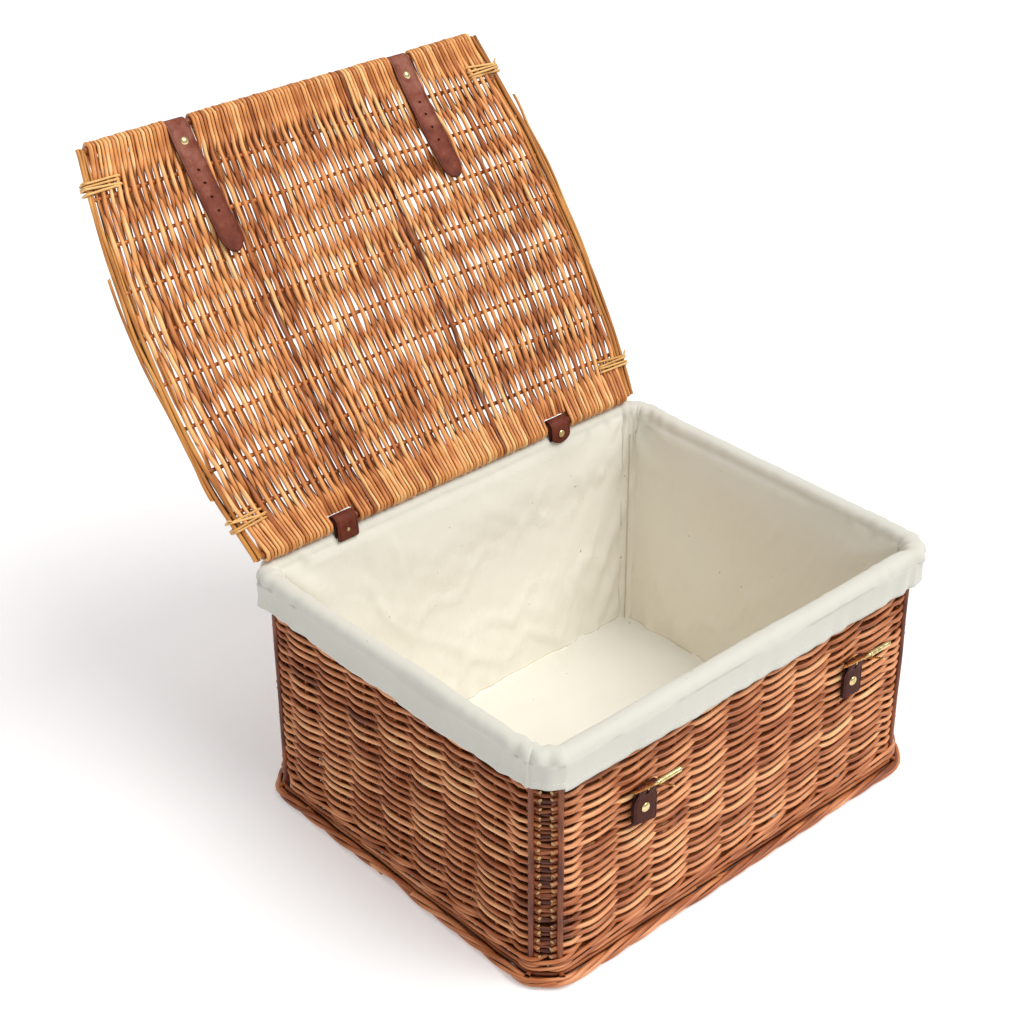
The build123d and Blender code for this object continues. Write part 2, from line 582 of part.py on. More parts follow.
# ------------------------------------------------------------------ lid straps
def strap(x):
    """Leather strap looped round the front rod, its short end tucked under the long run."""
    front = LID_D
    tip = front - STRAP_L
    loop_r = ROD_BORE_R + STRAP_T
    low, high = STRAP_BASE, STRAP_BASE + STRAP_T
    half = STRAP_W / 2
    # Profile points: depth, height
    long_run = [
        (front, loop_r - 0.02), (front - 16, high), (tip, high),
        (tip, low), (front - 18, low), (front, ROD_BORE_R),
    ]
    short_end = [
        (front + 1, -loop_r + 0.05), (front - 8, -4.6), (front - 16, 2.4),
        (front - 24, low - STRAP_T), (front - 24, low - 0.05), (front - 14, low - 0.05),
        (front - 8, 0), (front - 3, -ROD_BORE_R),
    ]
    with BuildSketch(lid_section(x - half)) as profile:
        with Locations((front, 0)):
            Circle(loop_r)
        face_of(long_run)
        face_of(short_end)
        with Locations((front, 0)):
            Circle(ROD_BORE_R, mode=Mode.SUBTRACT)
    extrude(profile.sketch, amount=STRAP_W)

    # Trim to the outline with a pointed tip
    right, left = (x + half, tip + 26), (x - half, tip + 26)
    near_right, near_left = (x + 3, tip + 1.2), (x - 3, tip + 1.2)
    with BuildSketch(lid_plane(height=-15)) as trim:
        with BuildLine() as outline:
            Polyline(left, (x - half, front + 20), (x + half, front + 20), right)
            ThreePointArc(right, (x + half * 0.72, tip + 11), near_right)
            ThreePointArc(near_right, (x, tip + 0.2), near_left)
            ThreePointArc(near_left, (x - half * 0.72, tip + 11), left)
        make_face(outline.line.edges())
    extrude(trim.sketch, amount=40, mode=Mode.INTERSECT)

    rod(lid_plane(height=STRAP_BASE - 1), STRAP_HOLE_R, STRAP_T + 2,
        spots=[(x, front - back) for back in STRAP_HOLES], mode=Mode.SUBTRACT)
    rod(lid_plane(x, front - STRAP_RIVET, -10), STRAP_RIVET_BORE_R, 30, mode=Mode.SUBTRACT)


def strap_rivet(x):
    depth = LID_D - STRAP_RIVET
    head_plane = lid_plane(x, depth, STRAP_BASE + STRAP_T + RIVET_LIFT)
    rivet_head(head_plane, radius=4.4, edge=0.8, top_r=2.2, height=2.1)
    # The shank runs a little way into the head.
    rod(lid_plane(x, depth, STRAP_BASE - STRAP_T - 2.2), STRAP_RIVET_R, 2 * STRAP_T + 2.3)


save_pair("strap", strap, STRAP_X)
save_pair("strap_rivet", strap_rivet, STRAP_X)
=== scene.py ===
"""Willow hamper with a hinged lid, calico lining, leather straps and brass buckles.

The basket stands on z = 0, centred on x and y. The front wall faces -Y, the right wall +X,
and the lid is hinged along the back wall (+Y). Shapes are worked out in mm and turned to
metres when a mesh is made.
"""
import json
import math

import bmesh
import bpy
import numpy as np
from mathutils import Matrix, Vector


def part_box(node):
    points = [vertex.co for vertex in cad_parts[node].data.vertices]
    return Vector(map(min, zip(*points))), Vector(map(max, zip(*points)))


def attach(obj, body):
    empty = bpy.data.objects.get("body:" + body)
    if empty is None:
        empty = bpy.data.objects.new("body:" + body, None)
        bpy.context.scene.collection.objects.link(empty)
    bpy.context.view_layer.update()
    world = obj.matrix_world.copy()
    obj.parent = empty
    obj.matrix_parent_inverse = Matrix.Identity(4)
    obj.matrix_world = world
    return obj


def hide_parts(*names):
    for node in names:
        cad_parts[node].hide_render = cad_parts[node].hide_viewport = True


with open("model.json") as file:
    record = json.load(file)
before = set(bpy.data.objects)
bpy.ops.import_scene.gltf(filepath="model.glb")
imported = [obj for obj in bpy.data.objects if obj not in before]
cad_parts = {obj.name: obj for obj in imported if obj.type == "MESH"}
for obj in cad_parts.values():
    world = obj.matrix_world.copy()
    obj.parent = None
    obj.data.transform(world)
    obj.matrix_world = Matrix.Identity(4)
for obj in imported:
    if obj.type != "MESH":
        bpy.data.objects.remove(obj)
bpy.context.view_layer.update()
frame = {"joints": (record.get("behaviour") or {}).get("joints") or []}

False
MM = 0.001
SIDES = ("left", "right")
CORNERS = ((-1, -1), (-1, 1), (1, -1), (1, 1))  # signs of x and y


# ------------------------------------------------------------------ places from the frame, mm
def box_mm(node):
    """Low and high corner of a CAD piece."""
    lo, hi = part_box(node)
    return np.array(lo) * 1000, np.array(hi) * 1000


joints = {joint["name"]: joint for joint in frame["joints"]}


def joint_mm(name):
    return np.array(joints[name]["pos_m"]) * 1000


wall_lo, wall_hi = box_mm("wall_front")
HALF_X, HALF_Y = box_mm("wall_right")[1][0], -wall_lo[1]  # outer planes of the walls
WALL_T = wall_hi[1] - wall_lo[1]
WALL_MID = WALL_T / 2
WALE_TOP = box_mm("bottom_wale")[1][2]
cuff_lo, cuff_hi = box_mm("liner_cuff")
CUFF_Z0, CUFF_TOP = cuff_lo[2], cuff_hi[2]
FLOOR_TOP = box_mm("base_weave")[1][2]
lining_lo, lining_hi = box_mm("liner_floor")

HINGE = joint_mm("lid_hinge")
swing_joint = joint_mm("strap_left_swing")
LID_LEN = float(np.hypot(swing_joint[1] - HINGE[1], swing_joint[2] - HINGE[2]))
LID_V = np.array([0.0, (swing_joint[1] - HINGE[1]) / LID_LEN,
                  (swing_joint[2] - HINGE[2]) / LID_LEN])
LID_W = np.array([0.0, -LID_V[2], LID_V[1]])
STRAP_X = {side: joint_mm("strap_%s_swing" % side)[0] for side in SIDES}
TAB_X = {side: joint_mm("buckle_%s_fold" % side)[0] for side in SIDES}
HEEL = joint_mm("buckle_left_fold")[1:]     # y, z of the buckle's heel bar
ROLLER = joint_mm("roller_left_spin")[1:]   # y, z of the buckle's roller
BAND_X = {side: float(sum(corner[0] for corner in box_mm("hinge_band_" + side)) / 2)
          for side in SIDES}
# x of each lid side at the hinge, half way and at the front edge
LID_LEFT = (-257.0, -281.0, -260.0)
LID_RIGHT = (249.0, 264.0, 239.0)


def lid_xyz(points):
    """Lid points (u along the hinge, v hinge to front edge, w out of the inner face) to x, y, z."""
    u, v, w = np.moveaxis(np.asarray(points, float), -1, 0)
    return np.stack([u, HINGE[1] + v * LID_V[1] + w * LID_W[1],
                     HINGE[2] + v * LID_V[2] + w * LID_W[2]], -1)


def side_x(side, v, inset=0.0):
    """x of a lid side at v, on the circle through its three points."""
    x0, x1, x2 = side
    y0, y1, y2 = 0.0, LID_LEN / 2, LID_LEN
    d = 2 * (x0 * (y1 - y2) + x1 * (y2 - y0) + x2 * (y0 - y1))
    q0, q1, q2 = x0**2 + y0**2, x1**2 + y1**2, x2**2 + y2**2
    centre_x = (q0 * (y1 - y2) + q1 * (y2 - y0) + q2 * (y0 - y1)) / d
    centre_y = (q0 * (x2 - x1) + q1 * (x0 - x2) + q2 * (x1 - x0)) / d
    radius = math.hypot(x0 - centre_x, y0 - centre_y) - inset
    sign = -1 if x1 < 0 else 1
    return centre_x + sign * np.sqrt(radius * radius - (np.asarray(v, float) - centre_y) ** 2)


# ------------------------------------------------------------------ maths
class Wave:
    """Smooth repeatable noise, a sum of sines in up to three coordinates, about -1 to 1."""

    def __init__(self, seed, scale, terms=7):
        rng = np.random.default_rng(seed)
        self.freq = rng.normal(size=(terms, 3)) / np.asarray(scale, float) * 2 * math.pi * 0.5
        self.phase = rng.uniform(0, 2 * math.pi, terms)
        self.gain = rng.uniform(0.5, 1.0, terms)
        self.gain /= np.sqrt((self.gain ** 2).sum() / 2) * 1.6

    def __call__(self, x, y=0.0, z=0.0):
        x, y, z = (c[..., None] for c in np.broadcast_arrays(x, y, z))
        angle = x * self.freq[:, 0] + y * self.freq[:, 1] + z * self.freq[:, 2] + self.phase
        return (np.sin(angle) * self.gain).sum(-1)


def unit(v):
    v = np.asarray(v, float)
    return v / np.maximum(np.linalg.norm(v, axis=-1, keepdims=True), 1e-12)


def bell(x, width):
    return np.exp(-(x / width) ** 2)


def smoothstep(t):
    return t * t * (3 - 2 * t)


def run_length(points):
    """Distance along a line of points, at each point."""
    steps = np.linalg.norm(np.diff(points, axis=0), axis=1)
    return np.concatenate([[0], np.cumsum(steps)])


def extend(values, extra, at_start):
    """Add extra, listed outward, to one end of values."""
    return np.concatenate([extra[::-1], values] if at_start else [values, extra])


# ------------------------------------------------------------------ mesh building
def tell_kit(ob, slot, *parts):
    """Hide the CAD parts that an object replaces; the slot argument is not used."""
    for part in parts:
        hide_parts(part)


def add_object(name, mesh, material, body):
    mesh.materials.append(material)
    ob = bpy.data.objects.new(name, mesh)
    bpy.context.scene.collection.objects.link(ob)
    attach(ob, body)
    return ob


def set_attribute(mesh, name, values):
    """Store a value or a vector per vertex."""
    values = np.asarray(values, float)
    vector = values.size == 3 * len(mesh.vertices)
    layer = mesh.attributes.new(name, "FLOAT_VECTOR" if vector else "FLOAT", "POINT")
    layer.data.foreach_set("vector" if vector else "value", values.astype(np.float32).ravel())


def face_outward(mesh):
    bm = bmesh.new()
    bm.from_mesh(mesh)
    bmesh.ops.recalc_face_normals(bm, faces=bm.faces)
    bm.to_mesh(mesh)
    bm.free()


class Rods:
    """Collects round rods into one mesh, with tint, grain and cut-end attributes."""

    GRAIN_R = 2.2       # radius of every rod in grain space
    GRAIN_STEP = 37.3   # shift along the grain from one rod to the next

    def __init__(self, sides=9):
        self.sides = sides
        self.verts, self.quads, self.caps = [], [], []
        self.tint, self.grain, self.cut = [], [], []
        self.size = 0
        self.count = 0

    def _store(self, verts, grain, tint, cut):
        self.verts.append(verts.reshape(-1, 3))
        self.grain.append(grain.reshape(-1, 3))
        self.tint.append(tint)
        self.cut.append(np.full(len(tint), cut))
        self.size += len(tint)

    def add(self, points, radius, ref, tint, slants=(None, None), caps=(True, True)):
        """Add a rod. Each slant is (direction, slope) of a cut end; ref steers the section."""
        points = np.asarray(points, float)
        n, sides = len(points), self.sides
        radius, tint = np.broadcast_to(radius, (n,)), np.broadcast_to(tint, (n,))
        along = unit(np.gradient(points, axis=0))
        across = unit(np.cross(along, np.broadcast_to(np.asarray(ref, float), (n, 3))))
        normal = unit(np.cross(across, along))
        angle = np.linspace(0, 2 * math.pi, sides, endpoint=False)
        cos, sin = np.cos(angle), np.sin(angle)
        shift = cos[None, :, None] * normal[:, None] + sin[None, :, None] * across[:, None]
        shift = shift * radius[:, None, None]
        ring = points[:, None, :] + shift
        for end, slant, sign in ((0, slants[0], 1.0), (n - 1, slants[1], -1.0)):
            if slant is not None:
                direction, slope = slant
                amount = shift[end] @ unit(direction) + radius[end]
                ring[end] += sign * along[end] * (amount * slope)[:, None]
        length = run_length(points) + self.count * self.GRAIN_STEP
        self.count += 1
        grain = np.stack(np.broadcast_arrays(cos * self.GRAIN_R, sin * self.GRAIN_R,
                                             length[:, None]), -1)
        row = self.size + np.arange(n - 1)[:, None] * sides
        col = np.arange(sides)[None, :]
        col2 = (col + 1) % sides
        quads = [row + col, row + col2, row + sides + col2, row + sides + col]
        self.quads.append(np.stack(quads, -1).reshape(-1, 4))
        self._store(ring, grain, np.repeat(tint, sides), 0.0)
        for end, wanted, order in ((0, caps[0], -1), (n - 1, caps[1], 1)):
            if wanted:
                self.caps.append((self.size + np.arange(sides))[::order])
                self._store(ring[end], grain[end], np.full(sides, float(np.mean(tint))), 1.0)

    def build(self, name, material, slot, *parts, body="basket"):
        verts, quads = np.concatenate(self.verts) * MM, np.concatenate(self.quads)
        mesh = bpy.data.meshes.new(name)
        mesh.vertices.add(len(verts))
        mesh.vertices.foreach_set("co", verts.astype(np.float32).ravel())
        corners = np.concatenate([quads.ravel()] + self.caps)
        mesh.loops.add(len(corners))
        mesh.loops.foreach_set("vertex_index", corners.astype(np.int32))
        n_quads, n_caps = len(quads), len(self.caps)
        mesh.polygons.add(n_quads + n_caps)
        starts = np.concatenate([np.arange(n_quads) * 4,
                                 n_quads * 4 + np.arange(n_caps) * self.sides])
        mesh.polygons.foreach_set("loop_start", starts.astype(np.int32))
        mesh.polygons.foreach_set("use_smooth", np.arange(n_quads + n_caps) < n_quads)
        mesh.update(calc_edges=True)
        set_attribute(mesh, "rod", np.concatenate(self.grain) * MM)
        set_attribute(mesh, "tint", np.concatenate(self.tint))
        set_attribute(mesh, "cut", np.concatenate(self.cut))
        tell_kit(add_object(name, mesh, material, body), slot, *parts)


def grid_mesh(name, grid, material, body, closed_u=False, closed_v=False, caps=False, attrs=None):
    """Smooth mesh from points grid[u, v]; caps closes the two ends of u with a face each."""
    nu, nv = grid.shape[:2]
    row = np.arange(nu if closed_u else nu - 1)[:, None]
    col = np.arange(nv if closed_v else nv - 1)[None, :]
    row2, col2 = (row + 1) % nu, (col + 1) % nv
    quads = [row * nv + col, row2 * nv + col, row2 * nv + col2, row * nv + col2]
    faces = np.stack(quads, -1).reshape(-1, 4).tolist()
    if caps:
        faces.append(list(range(nv)))
        faces.append([(nu - 1) * nv + k for k in range(nv)][::-1])
    mesh = bpy.data.meshes.new(name)
    mesh.from_pydata((grid.reshape(-1, 3) * MM).tolist(), [], faces)
    mesh.polygons.foreach_set("use_smooth", np.full(len(mesh.polygons), True))
    for key, values in (attrs or {}).items():
        set_attribute(mesh, key, values)
    mesh.update()
    return add_object(name, mesh, material, body)


def solid_mesh(name, grid, material, body, closed_u=False, attrs=None):
    """Closed bar or ring with its section round v."""
    ob = grid_mesh(name, grid, material, body, closed_u, True, not closed_u, attrs)
    face_outward(ob.data)
    return ob


# ------------------------------------------------------------------ materials
class Shader:
    """A material's node tree round one Principled BSDF."""

    def __init__(self, name):
        self.material = bpy.data.materials.new(name)
        self.material.use_nodes = True
        self.tree = self.material.node_tree
        self.tree.nodes.clear()
        self.output = self.node("ShaderNodeOutputMaterial")
        self.bsdf = self.node("ShaderNodeBsdfPrincipled")
        self.put(self.output.inputs["Surface"], self.bsdf.outputs[0])

    def put(self, socket, value):
        """Link an output to the socket, or set the socket's own value."""
        if isinstance(value, bpy.types.NodeSocket):
            self.tree.links.new(value, socket)
        elif isinstance(value, tuple) and socket.type == "RGBA":
            socket.default_value = (*value, 1.0)
        else:
            socket.default_value = value

    def node(self, kind, inputs=None, **settings):
        node = self.tree.nodes.new(kind)
        for key, value in settings.items():
            setattr(node, key, value)
        for key, value in (inputs or {}).items():
            self.put(node.inputs[key], value)
        return node

    def surface(self, inputs):
        for key, value in inputs.items():
            self.put(self.bsdf.inputs[key], value)
        return self.material

    def attr(self, name, output="Fac"):
        return self.node("ShaderNodeAttribute", attribute_name=name).outputs[output]

    def object_space(self):
        return self.node("ShaderNodeTexCoord").outputs["Object"]

    def noise(self, vector, scale=1.0, detail=3.0, roughness=0.55, distortion=0.0, stretch=None):
        if stretch:
            vector = self.node("ShaderNodeMapping", {"Scale": stretch, "Vector": vector}).outputs[0]
        return self.node("ShaderNodeTexNoise", {
            "Scale": scale, "Detail": detail, "Roughness": roughness,
            "Distortion": distortion, "Vector": vector}).outputs["Fac"]

    def ramp(self, fac, stops):
        node = self.node("ShaderNodeValToRGB", {"Fac": fac})
        elements = node.color_ramp.elements
        while len(elements) < len(stops):
            elements.new(0.5)
        for element, (position, colour) in zip(elements, stops):
            element.position = position
            element.color = (*colour, 1.0)
        return node.outputs["Color"]

    def calc(self, operation, a, b, clamp=False):
        return self.node("ShaderNodeMath", {0: a, 1: b}, operation=operation,
                         use_clamp=clamp).outputs[0]

    def add(self, a, b, clamp=False):
        return self.calc("ADD", a, b, clamp)

    def mul(self, a, b, clamp=False):
        return self.calc("MULTIPLY", a, b, clamp)

    def centred(self, value, gain, middle=0.5):
        return self.mul(self.calc("SUBTRACT", value, middle), gain)

    def mix(self, fac, a, b):
        return self.node("ShaderNodeMix", {0: fac, 6: a, 7: b}, data_type="RGBA").outputs[2]

    def bump(self, height, strength, distance, normal=None):
        inputs = {"Strength": strength, "Distance": distance, "Height": height}
        if normal is not None:
            inputs["Normal"] = normal
        return self.node("ShaderNodeBump", inputs).outputs[0]


def willow(name, dark, mid, light, straw):
    """Buff willow: per-rod colour, which on some rods carries painted highlight and shade, streaks
    along the rod, knots, pale cut ends, and painted shade in the crevices between rods.
    """
    sh = Shader(name)
    tint, grain, cut = sh.attr("tint"), sh.attr("rod", "Vector"), sh.attr("cut")
    streak = sh.noise(grain, roughness=0.6, stretch=(900, 900, 26))
    blotch = sh.noise(grain, detail=2.0, roughness=0.5, stretch=(60, 60, 22))
    tone = sh.add(sh.mul(tint, 0.72), sh.centred(blotch, gain=0.85))
    tone = sh.add(tone, sh.centred(streak, gain=0.6))
    tone = sh.add(tone, 0.14, clamp=True)
    colour = sh.ramp(tone, [(0.0, dark), (0.45, mid), (0.8, light), (1.0, straw)])
    pith = sh.noise(grain, detail=2.0, stretch=(1500, 1500, 1500))
    wood = sh.ramp(pith, [(0.3, (0.32, 0.17, 0.05)), (0.7, (0.62, 0.43, 0.17))])
    colour = sh.mix(cut, colour, wood)
    # painted shade: darkening in the crevices between rods, from an ambient occlusion node
    occlusion = sh.node("ShaderNodeAmbientOcclusion", {"Distance": 0.007},
                        samples=4, only_local=True).outputs["AO"]
    crevice_shade = sh.mul(sh.calc("SUBTRACT", 0.77, occlusion), 1.65, clamp=True)
    colour = sh.mix(crevice_shade, colour, tuple(0.45 * c for c in dark))
    knots = sh.noise(grain, detail=1.0, stretch=(180, 180, 60))
    height = sh.add(sh.mul(streak, 0.7), sh.mul(knots, 0.6))
    return sh.surface({
        "Base Color": colour,
        "Normal": sh.bump(height, strength=0.55, distance=0.0004),
        "Roughness": sh.add(sh.mul(streak, 0.22), 0.26),
        "Specular IOR Level": 0.40})


def calico(name, light, shade, plain=False):
    """Unbleached cotton: plain weave threads and seed specks; unless plain, slubs and creases."""
    sh = Shader(name)
    place, cloth = sh.object_space(), sh.attr("cloth", "Vector")
    threads = [sh.node("ShaderNodeTexWave", {
        "Vector": cloth, "Scale": 250.0, "Distortion": 1.2, "Detail": 1.0, "Detail Scale": 1.5},
        wave_type="BANDS", bands_direction=axis).outputs["Fac"] for axis in "XY"]
    weave = sh.mul(*threads)
    soft = sh.noise(place, scale=9.0, detail=4.0, roughness=0.6)
    colour = sh.mix(sh.mul(soft, 1.0, clamp=True), shade, light)
    gaps = sh.mul(sh.calc("SUBTRACT", 1.0, weave), 0.10)
    colour = sh.mix(gaps, colour, (0.55, 0.52, 0.44))
    speck = sh.noise(place, scale=210.0, detail=0.0)
    speck = sh.mul(sh.calc("GREATER_THAN", speck, 0.872), 0.6)
    colour = sh.mix(speck, colour, (0.22, 0.14, 0.07))
    if plain:
        return sh.surface({
            "Base Color": colour, "Roughness": 0.95, "Specular IOR Level": 0.05,
            "Normal": sh.bump(weave, strength=0.3, distance=0.0003)})
    # layers mixed over the colour: attribute, strength, colour. The first is painted warm shade on
    # the inner walls, the second painted grey shade on the cuff over a light grey tone, the third a
    # seam colour
    for layer, strength, stain in (("warm", 0.8, (0.80, 0.66, 0.47)),
                                   ("cool", 1.0, (0.57, 0.565, 0.505)),
                                   ("seam", 0.75, (0.40, 0.29, 0.17))):
        colour = sh.mix(sh.mul(sh.attr(layer), strength, clamp=True), colour, stain)
    slub = sh.noise(cloth, detail=2.0, stretch=(60, 900, 60))
    crease = sh.noise(place, scale=26.0, detail=5.0, roughness=0.6, distortion=0.6,
                      stretch=(1, 1, 1))
    fibres = sh.bump(sh.add(sh.mul(weave, 0.25), sh.mul(slub, 0.25)),
                     strength=0.35, distance=0.0003)
    return sh.surface({
        "Base Color": colour,
        "Normal": sh.bump(crease, strength=0.30, distance=0.0030, normal=fibres),
        "Roughness": 0.9, "Sheen Weight": 0.25, "Sheen Roughness": 0.5,
        "Specular IOR Level": 0.15})


def leather(name, dark, mid, worn_and_sheen):
    """Smooth-finished cowhide: pores, creases, burnished edges."""
    sh = Shader(name)
    place, edge = sh.object_space(), sh.attr("edge")
    cells = sh.node("ShaderNodeTexVoronoi", feature="DISTANCE_TO_EDGE")
    for key, value in (("Scale", 1100.0), ("Randomness", 1.0), ("Vector", place)):
        sh.put(cells.inputs[key], value)
    pores = sh.ramp(cells.outputs["Distance"], [(0.0, (0, 0, 0)), (0.22, (1, 1, 1))])
    big = sh.noise(place, scale=70.0, detail=4.0, roughness=0.6)
    fine = sh.noise(place, scale=520.0, roughness=0.6)
    tone = sh.add(sh.mul(big, 0.75), sh.mul(fine, 0.25))
    # the tone attribute shifts the colour towards the lighter stop; along a strap it carries
    # painted sheen
    tone = sh.add(tone, sh.centred(sh.attr("tone"), gain=0.26, middle=0.35))
    colour = sh.ramp(tone, [(0.28, dark), (0.55, mid), (0.8, worn_and_sheen)])
    colour = sh.mix(sh.mul(edge, 0.85, clamp=True), colour, tuple(0.35 * c for c in dark))
    pitted = sh.bump(pores, strength=0.18, distance=0.00012)
    return sh.surface({
        "Base Color": colour,
        "Roughness": sh.add(sh.mul(big, 0.25), 0.44),
        "Normal": sh.bump(big, strength=0.12, distance=0.0006, normal=pitted),
        "Specular IOR Level": 0.14})


def brass(name):
    """Plated brass with dulled patches and fine scratches."""
    sh = Shader(name)
    place = sh.object_space()
    patch = sh.noise(place, scale=260.0, detail=4.0, roughness=0.65)
    scratch = sh.noise(place, detail=2.0, stretch=(300, 4200, 4200))
    return sh.surface({
        "Base Color": sh.ramp(patch, [(0.3, (0.42, 0.30, 0.10)), (0.5, (0.80, 0.64, 0.30)),
                                      (0.75, (0.93, 0.83, 0.55))]),
        "Metallic": 1.0,
        "Roughness": sh.add(sh.mul(patch, 0.30), 0.08),
        "Normal": sh.bump(scratch, strength=0.12, distance=0.0001)})


M_WALL = willow("willow_wall", dark=(0.070, 0.009, 0.002), mid=(0.385, 0.108, 0.030),
                light=(0.760, 0.330, 0.145), straw=(0.860, 0.520, 0.240))
M_LID = willow("willow_lid", dark=(0.085, 0.012, 0.003), mid=(0.460, 0.140, 0.034),
               light=(0.820, 0.355, 0.115), straw=(0.920, 0.600, 0.260))
M_STRAW = willow("willow_straw", dark=(0.40, 0.17, 0.045), mid=(0.66, 0.34, 0.10),
                 light=(0.82, 0.50, 0.18), straw=(0.90, 0.66, 0.32))
M_SIDE = willow("willow_side", dark=(0.15, 0.040, 0.007), mid=(0.44, 0.160, 0.030),
                light=(0.70, 0.33, 0.080), straw=(0.84, 0.54, 0.20))
M_CALICO = calico("calico", light=(0.885, 0.865, 0.785), shade=(0.840, 0.815, 0.725))
M_STRAP = leather("leather_strap", dark=(0.095, 0.017, 0.009), mid=(0.185, 0.046, 0.026),
                  worn_and_sheen=(0.300, 0.115, 0.080))
M_TAB = leather("leather_tab", dark=(0.045, 0.010, 0.006), mid=(0.090, 0.021, 0.013),
                worn_and_sheen=(0.150, 0.046, 0.030))
M_BRASS = brass("brass")
# painted shade: dark brown on the lining's side toward the wicker, so the gaps in the walls read as
# shade; the real cloth is off-white on that side too
M_SHADE_BACK = calico("calico_back", light=(0.300, 0.120, 0.050), shade=(0.210, 0.080, 0.032),
                plain=True)
M_THREAD = calico("seam_thread", light=(0.66, 0.58, 0.45), shade=(0.56, 0.48, 0.35), plain=True
                  ) if False else calico("seam_thread", (0.66, 0.58, 0.45), (0.56, 0.48, 0.35))

# ------------------------------------------------------------------ basket walls
POST_INSET = 24.7  # corner posts, back from the corner along each wall
POST_A = (HALF_X - POST_INSET, HALF_Y - WALL_MID)
POST_B = (HALF_X - WALL_MID, HALF_Y - POST_INSET)
STAKE_R, POST_R, ROD_R = 1.9, 3.0, 2.42
ROW_Z0, ROW_PITCH = WALE_TOP + 1.5, 4.75
ROWS = int((CUFF_Z0 + 12 - ROW_Z0) / ROW_PITCH)
JOIN_LAP = 9.0              # a rod runs on this far past a join
UPRIGHT_Z = (4, CUFF_TOP - 6)
TAB_ZONE_Z = (128, 196)     # front rows behind the buckle tabs lie flatter
height_wave = Wave(3, (90, 30, 60))
swing_wave = Wave(4, (120, 18, 60))
tone_wave = Wave(5, (140, 60, 60))
fine_wave = Wave(6, (60, 60, 60))

# wall: start post on the mid line, direction, outward normal, length, number of bays
WALLS = {
    "front": (np.array([-POST_A[0], -POST_A[1]]), np.array([1.0, 0.0]), np.array([0.0, -1.0]),
              2 * POST_A[0], 10),
    "right": (np.array([POST_B[0], -POST_B[1]]), np.array([0.0, 1.0]), np.array([1.0, 0.0]),
              2 * POST_B[1], 8),
    "back": (np.array([POST_A[0], POST_A[1]]), np.array([-1.0, 0.0]), np.array([0.0, 1.0]),
             2 * POST_A[0], 10),
    "left": (np.array([-POST_B[0], POST_B[1]]), np.array([0.0, -1.0]), np.array([-1.0, 0.0]),
             2 * POST_B[1], 8),
}


def stroke(turn):
    """In and out of the stakes: 1 outside at even turns, -1 inside at odd ones."""
    return np.tanh(0.9 * np.cos(math.pi * np.asarray(turn, float))) / math.tanh(0.9)


def row_joins(rng, row, bays):
    """Bays where a row's rods join, always behind a stake."""
    joins = [0]
    k = int(rng.integers(2, 5))
    while k < bays - 1:
        if (k + row) % 2 == 1:
            joins.append(k)
            k += int(rng.integers(3, 7))
        else:
            k += 1
    return joins + [bays]


def wall_rod(rods, rng, index, side, row, first, last):
    """One rod of a wall row, between two joins."""
    start, along, outward, length, bays = WALLS[side]
    bay = length / bays
    z = ROW_Z0 + ROW_PITCH * row
    a = first * bay - (0 if first == 0 else JOIN_LAP)
    b = last * bay + (0 if last == bays else JOIN_LAP)
    n = max(8, int((b - a) / bay * 12))
    dist = np.linspace(a, b, n)
    turn = dist / bay + row
    swing = STAKE_R + ROD_R - 0.85 + 0.5 * swing_wave(dist + index * 900, z)
    offset = swing * stroke(turn) + 0.5 * fine_wave(dist + 777 * index, z * 3)
    # every row passes behind the corner post
    to_post = np.minimum(dist, length - dist)
    at_post = smoothstep(np.clip(1 - to_post / 15.0, 0, 1))
    over = stroke(np.round(turn)) > 0
    offset = offset * (1 - at_post) + at_post * np.where(over, -1.9, -4.2)
    if side == "front" and TAB_ZONE_Z[0] < z < TAB_ZONE_Z[1]:
        for tab_x in TAB_X.values():
            near_tab = np.abs(start[0] + dist - tab_x) < 19
            offset = np.where(near_tab, np.minimum(offset, 3.9), offset)
    slope = 1.65 * np.sin(math.pi * turn) + 0.25 * np.sin(2 * math.pi * turn)
    slope = np.clip(to_post / 70.0, 0.3, 1.0) * slope
    heights = z + 1.05 * height_wave(dist + index * 700, z) + slope + rng.normal(0, 0.18)
    radius = ROD_R * (1 + 0.10 * rng.normal())
    radius = radius * np.linspace(1.10, 0.90, n)[::1 if rng.random() < 0.5 else -1]
    radius = np.clip(radius, 1.75, 2.6)
    flat = start + along * dist[:, None] + outward * offset[:, None]
    points = np.column_stack([flat, heights])
    tint = 0.59 + 0.18 * rng.normal() + 0.12 * tone_wave(dist + index * 500, z)
    # painted highlight and shade: a rod is lighter where it comes out in front of the stakes and
    # darker where it passes behind them
    tint = np.minimum(tint, 0.86) + 0.16 * np.clip(offset, -4, 4) / 4
    slants = [None, None]
    # past the post the rod turns in along the cut corner and ends there, cut off short
    for end, at_corner, tip in ((0, first == 0, 0.72), (-1, last == bays, 0.70)):
        if not at_corner:
            continue
        sign = -1 if end == 0 else 1
        post = start + along * (0 if end == 0 else length)
        row_over = stroke(round(float(turn[end]))) > 0
        if row_over:
            steps = ((3.2, -2.3), (5.6, -2.6), (6.9 + 2.4 * rng.random(), -2.9))
            slants[end] = (np.array([*unit(outward + along * sign), 0.0]), 0.5)
        else:
            steps = ((3.2, -4.5), (6.0, -5.2))
        k = len(steps)
        beyond = np.array([post + along * sign * run + outward * out for run, out in steps])
        rise = points[end][2] + np.linspace(0.2, 1.0, k) * 0.9 * rng.normal()
        at_start = end == 0
        points = extend(points, np.column_stack([beyond, rise]), at_start)
        radius = extend(radius, np.linspace(0.9, tip, k) * radius[end], at_start)
        tint = extend(tint, np.full(k, tint[end] * 0.5), at_start)
    rods.add(points, radius, [*outward, 0.0], tint, slants)


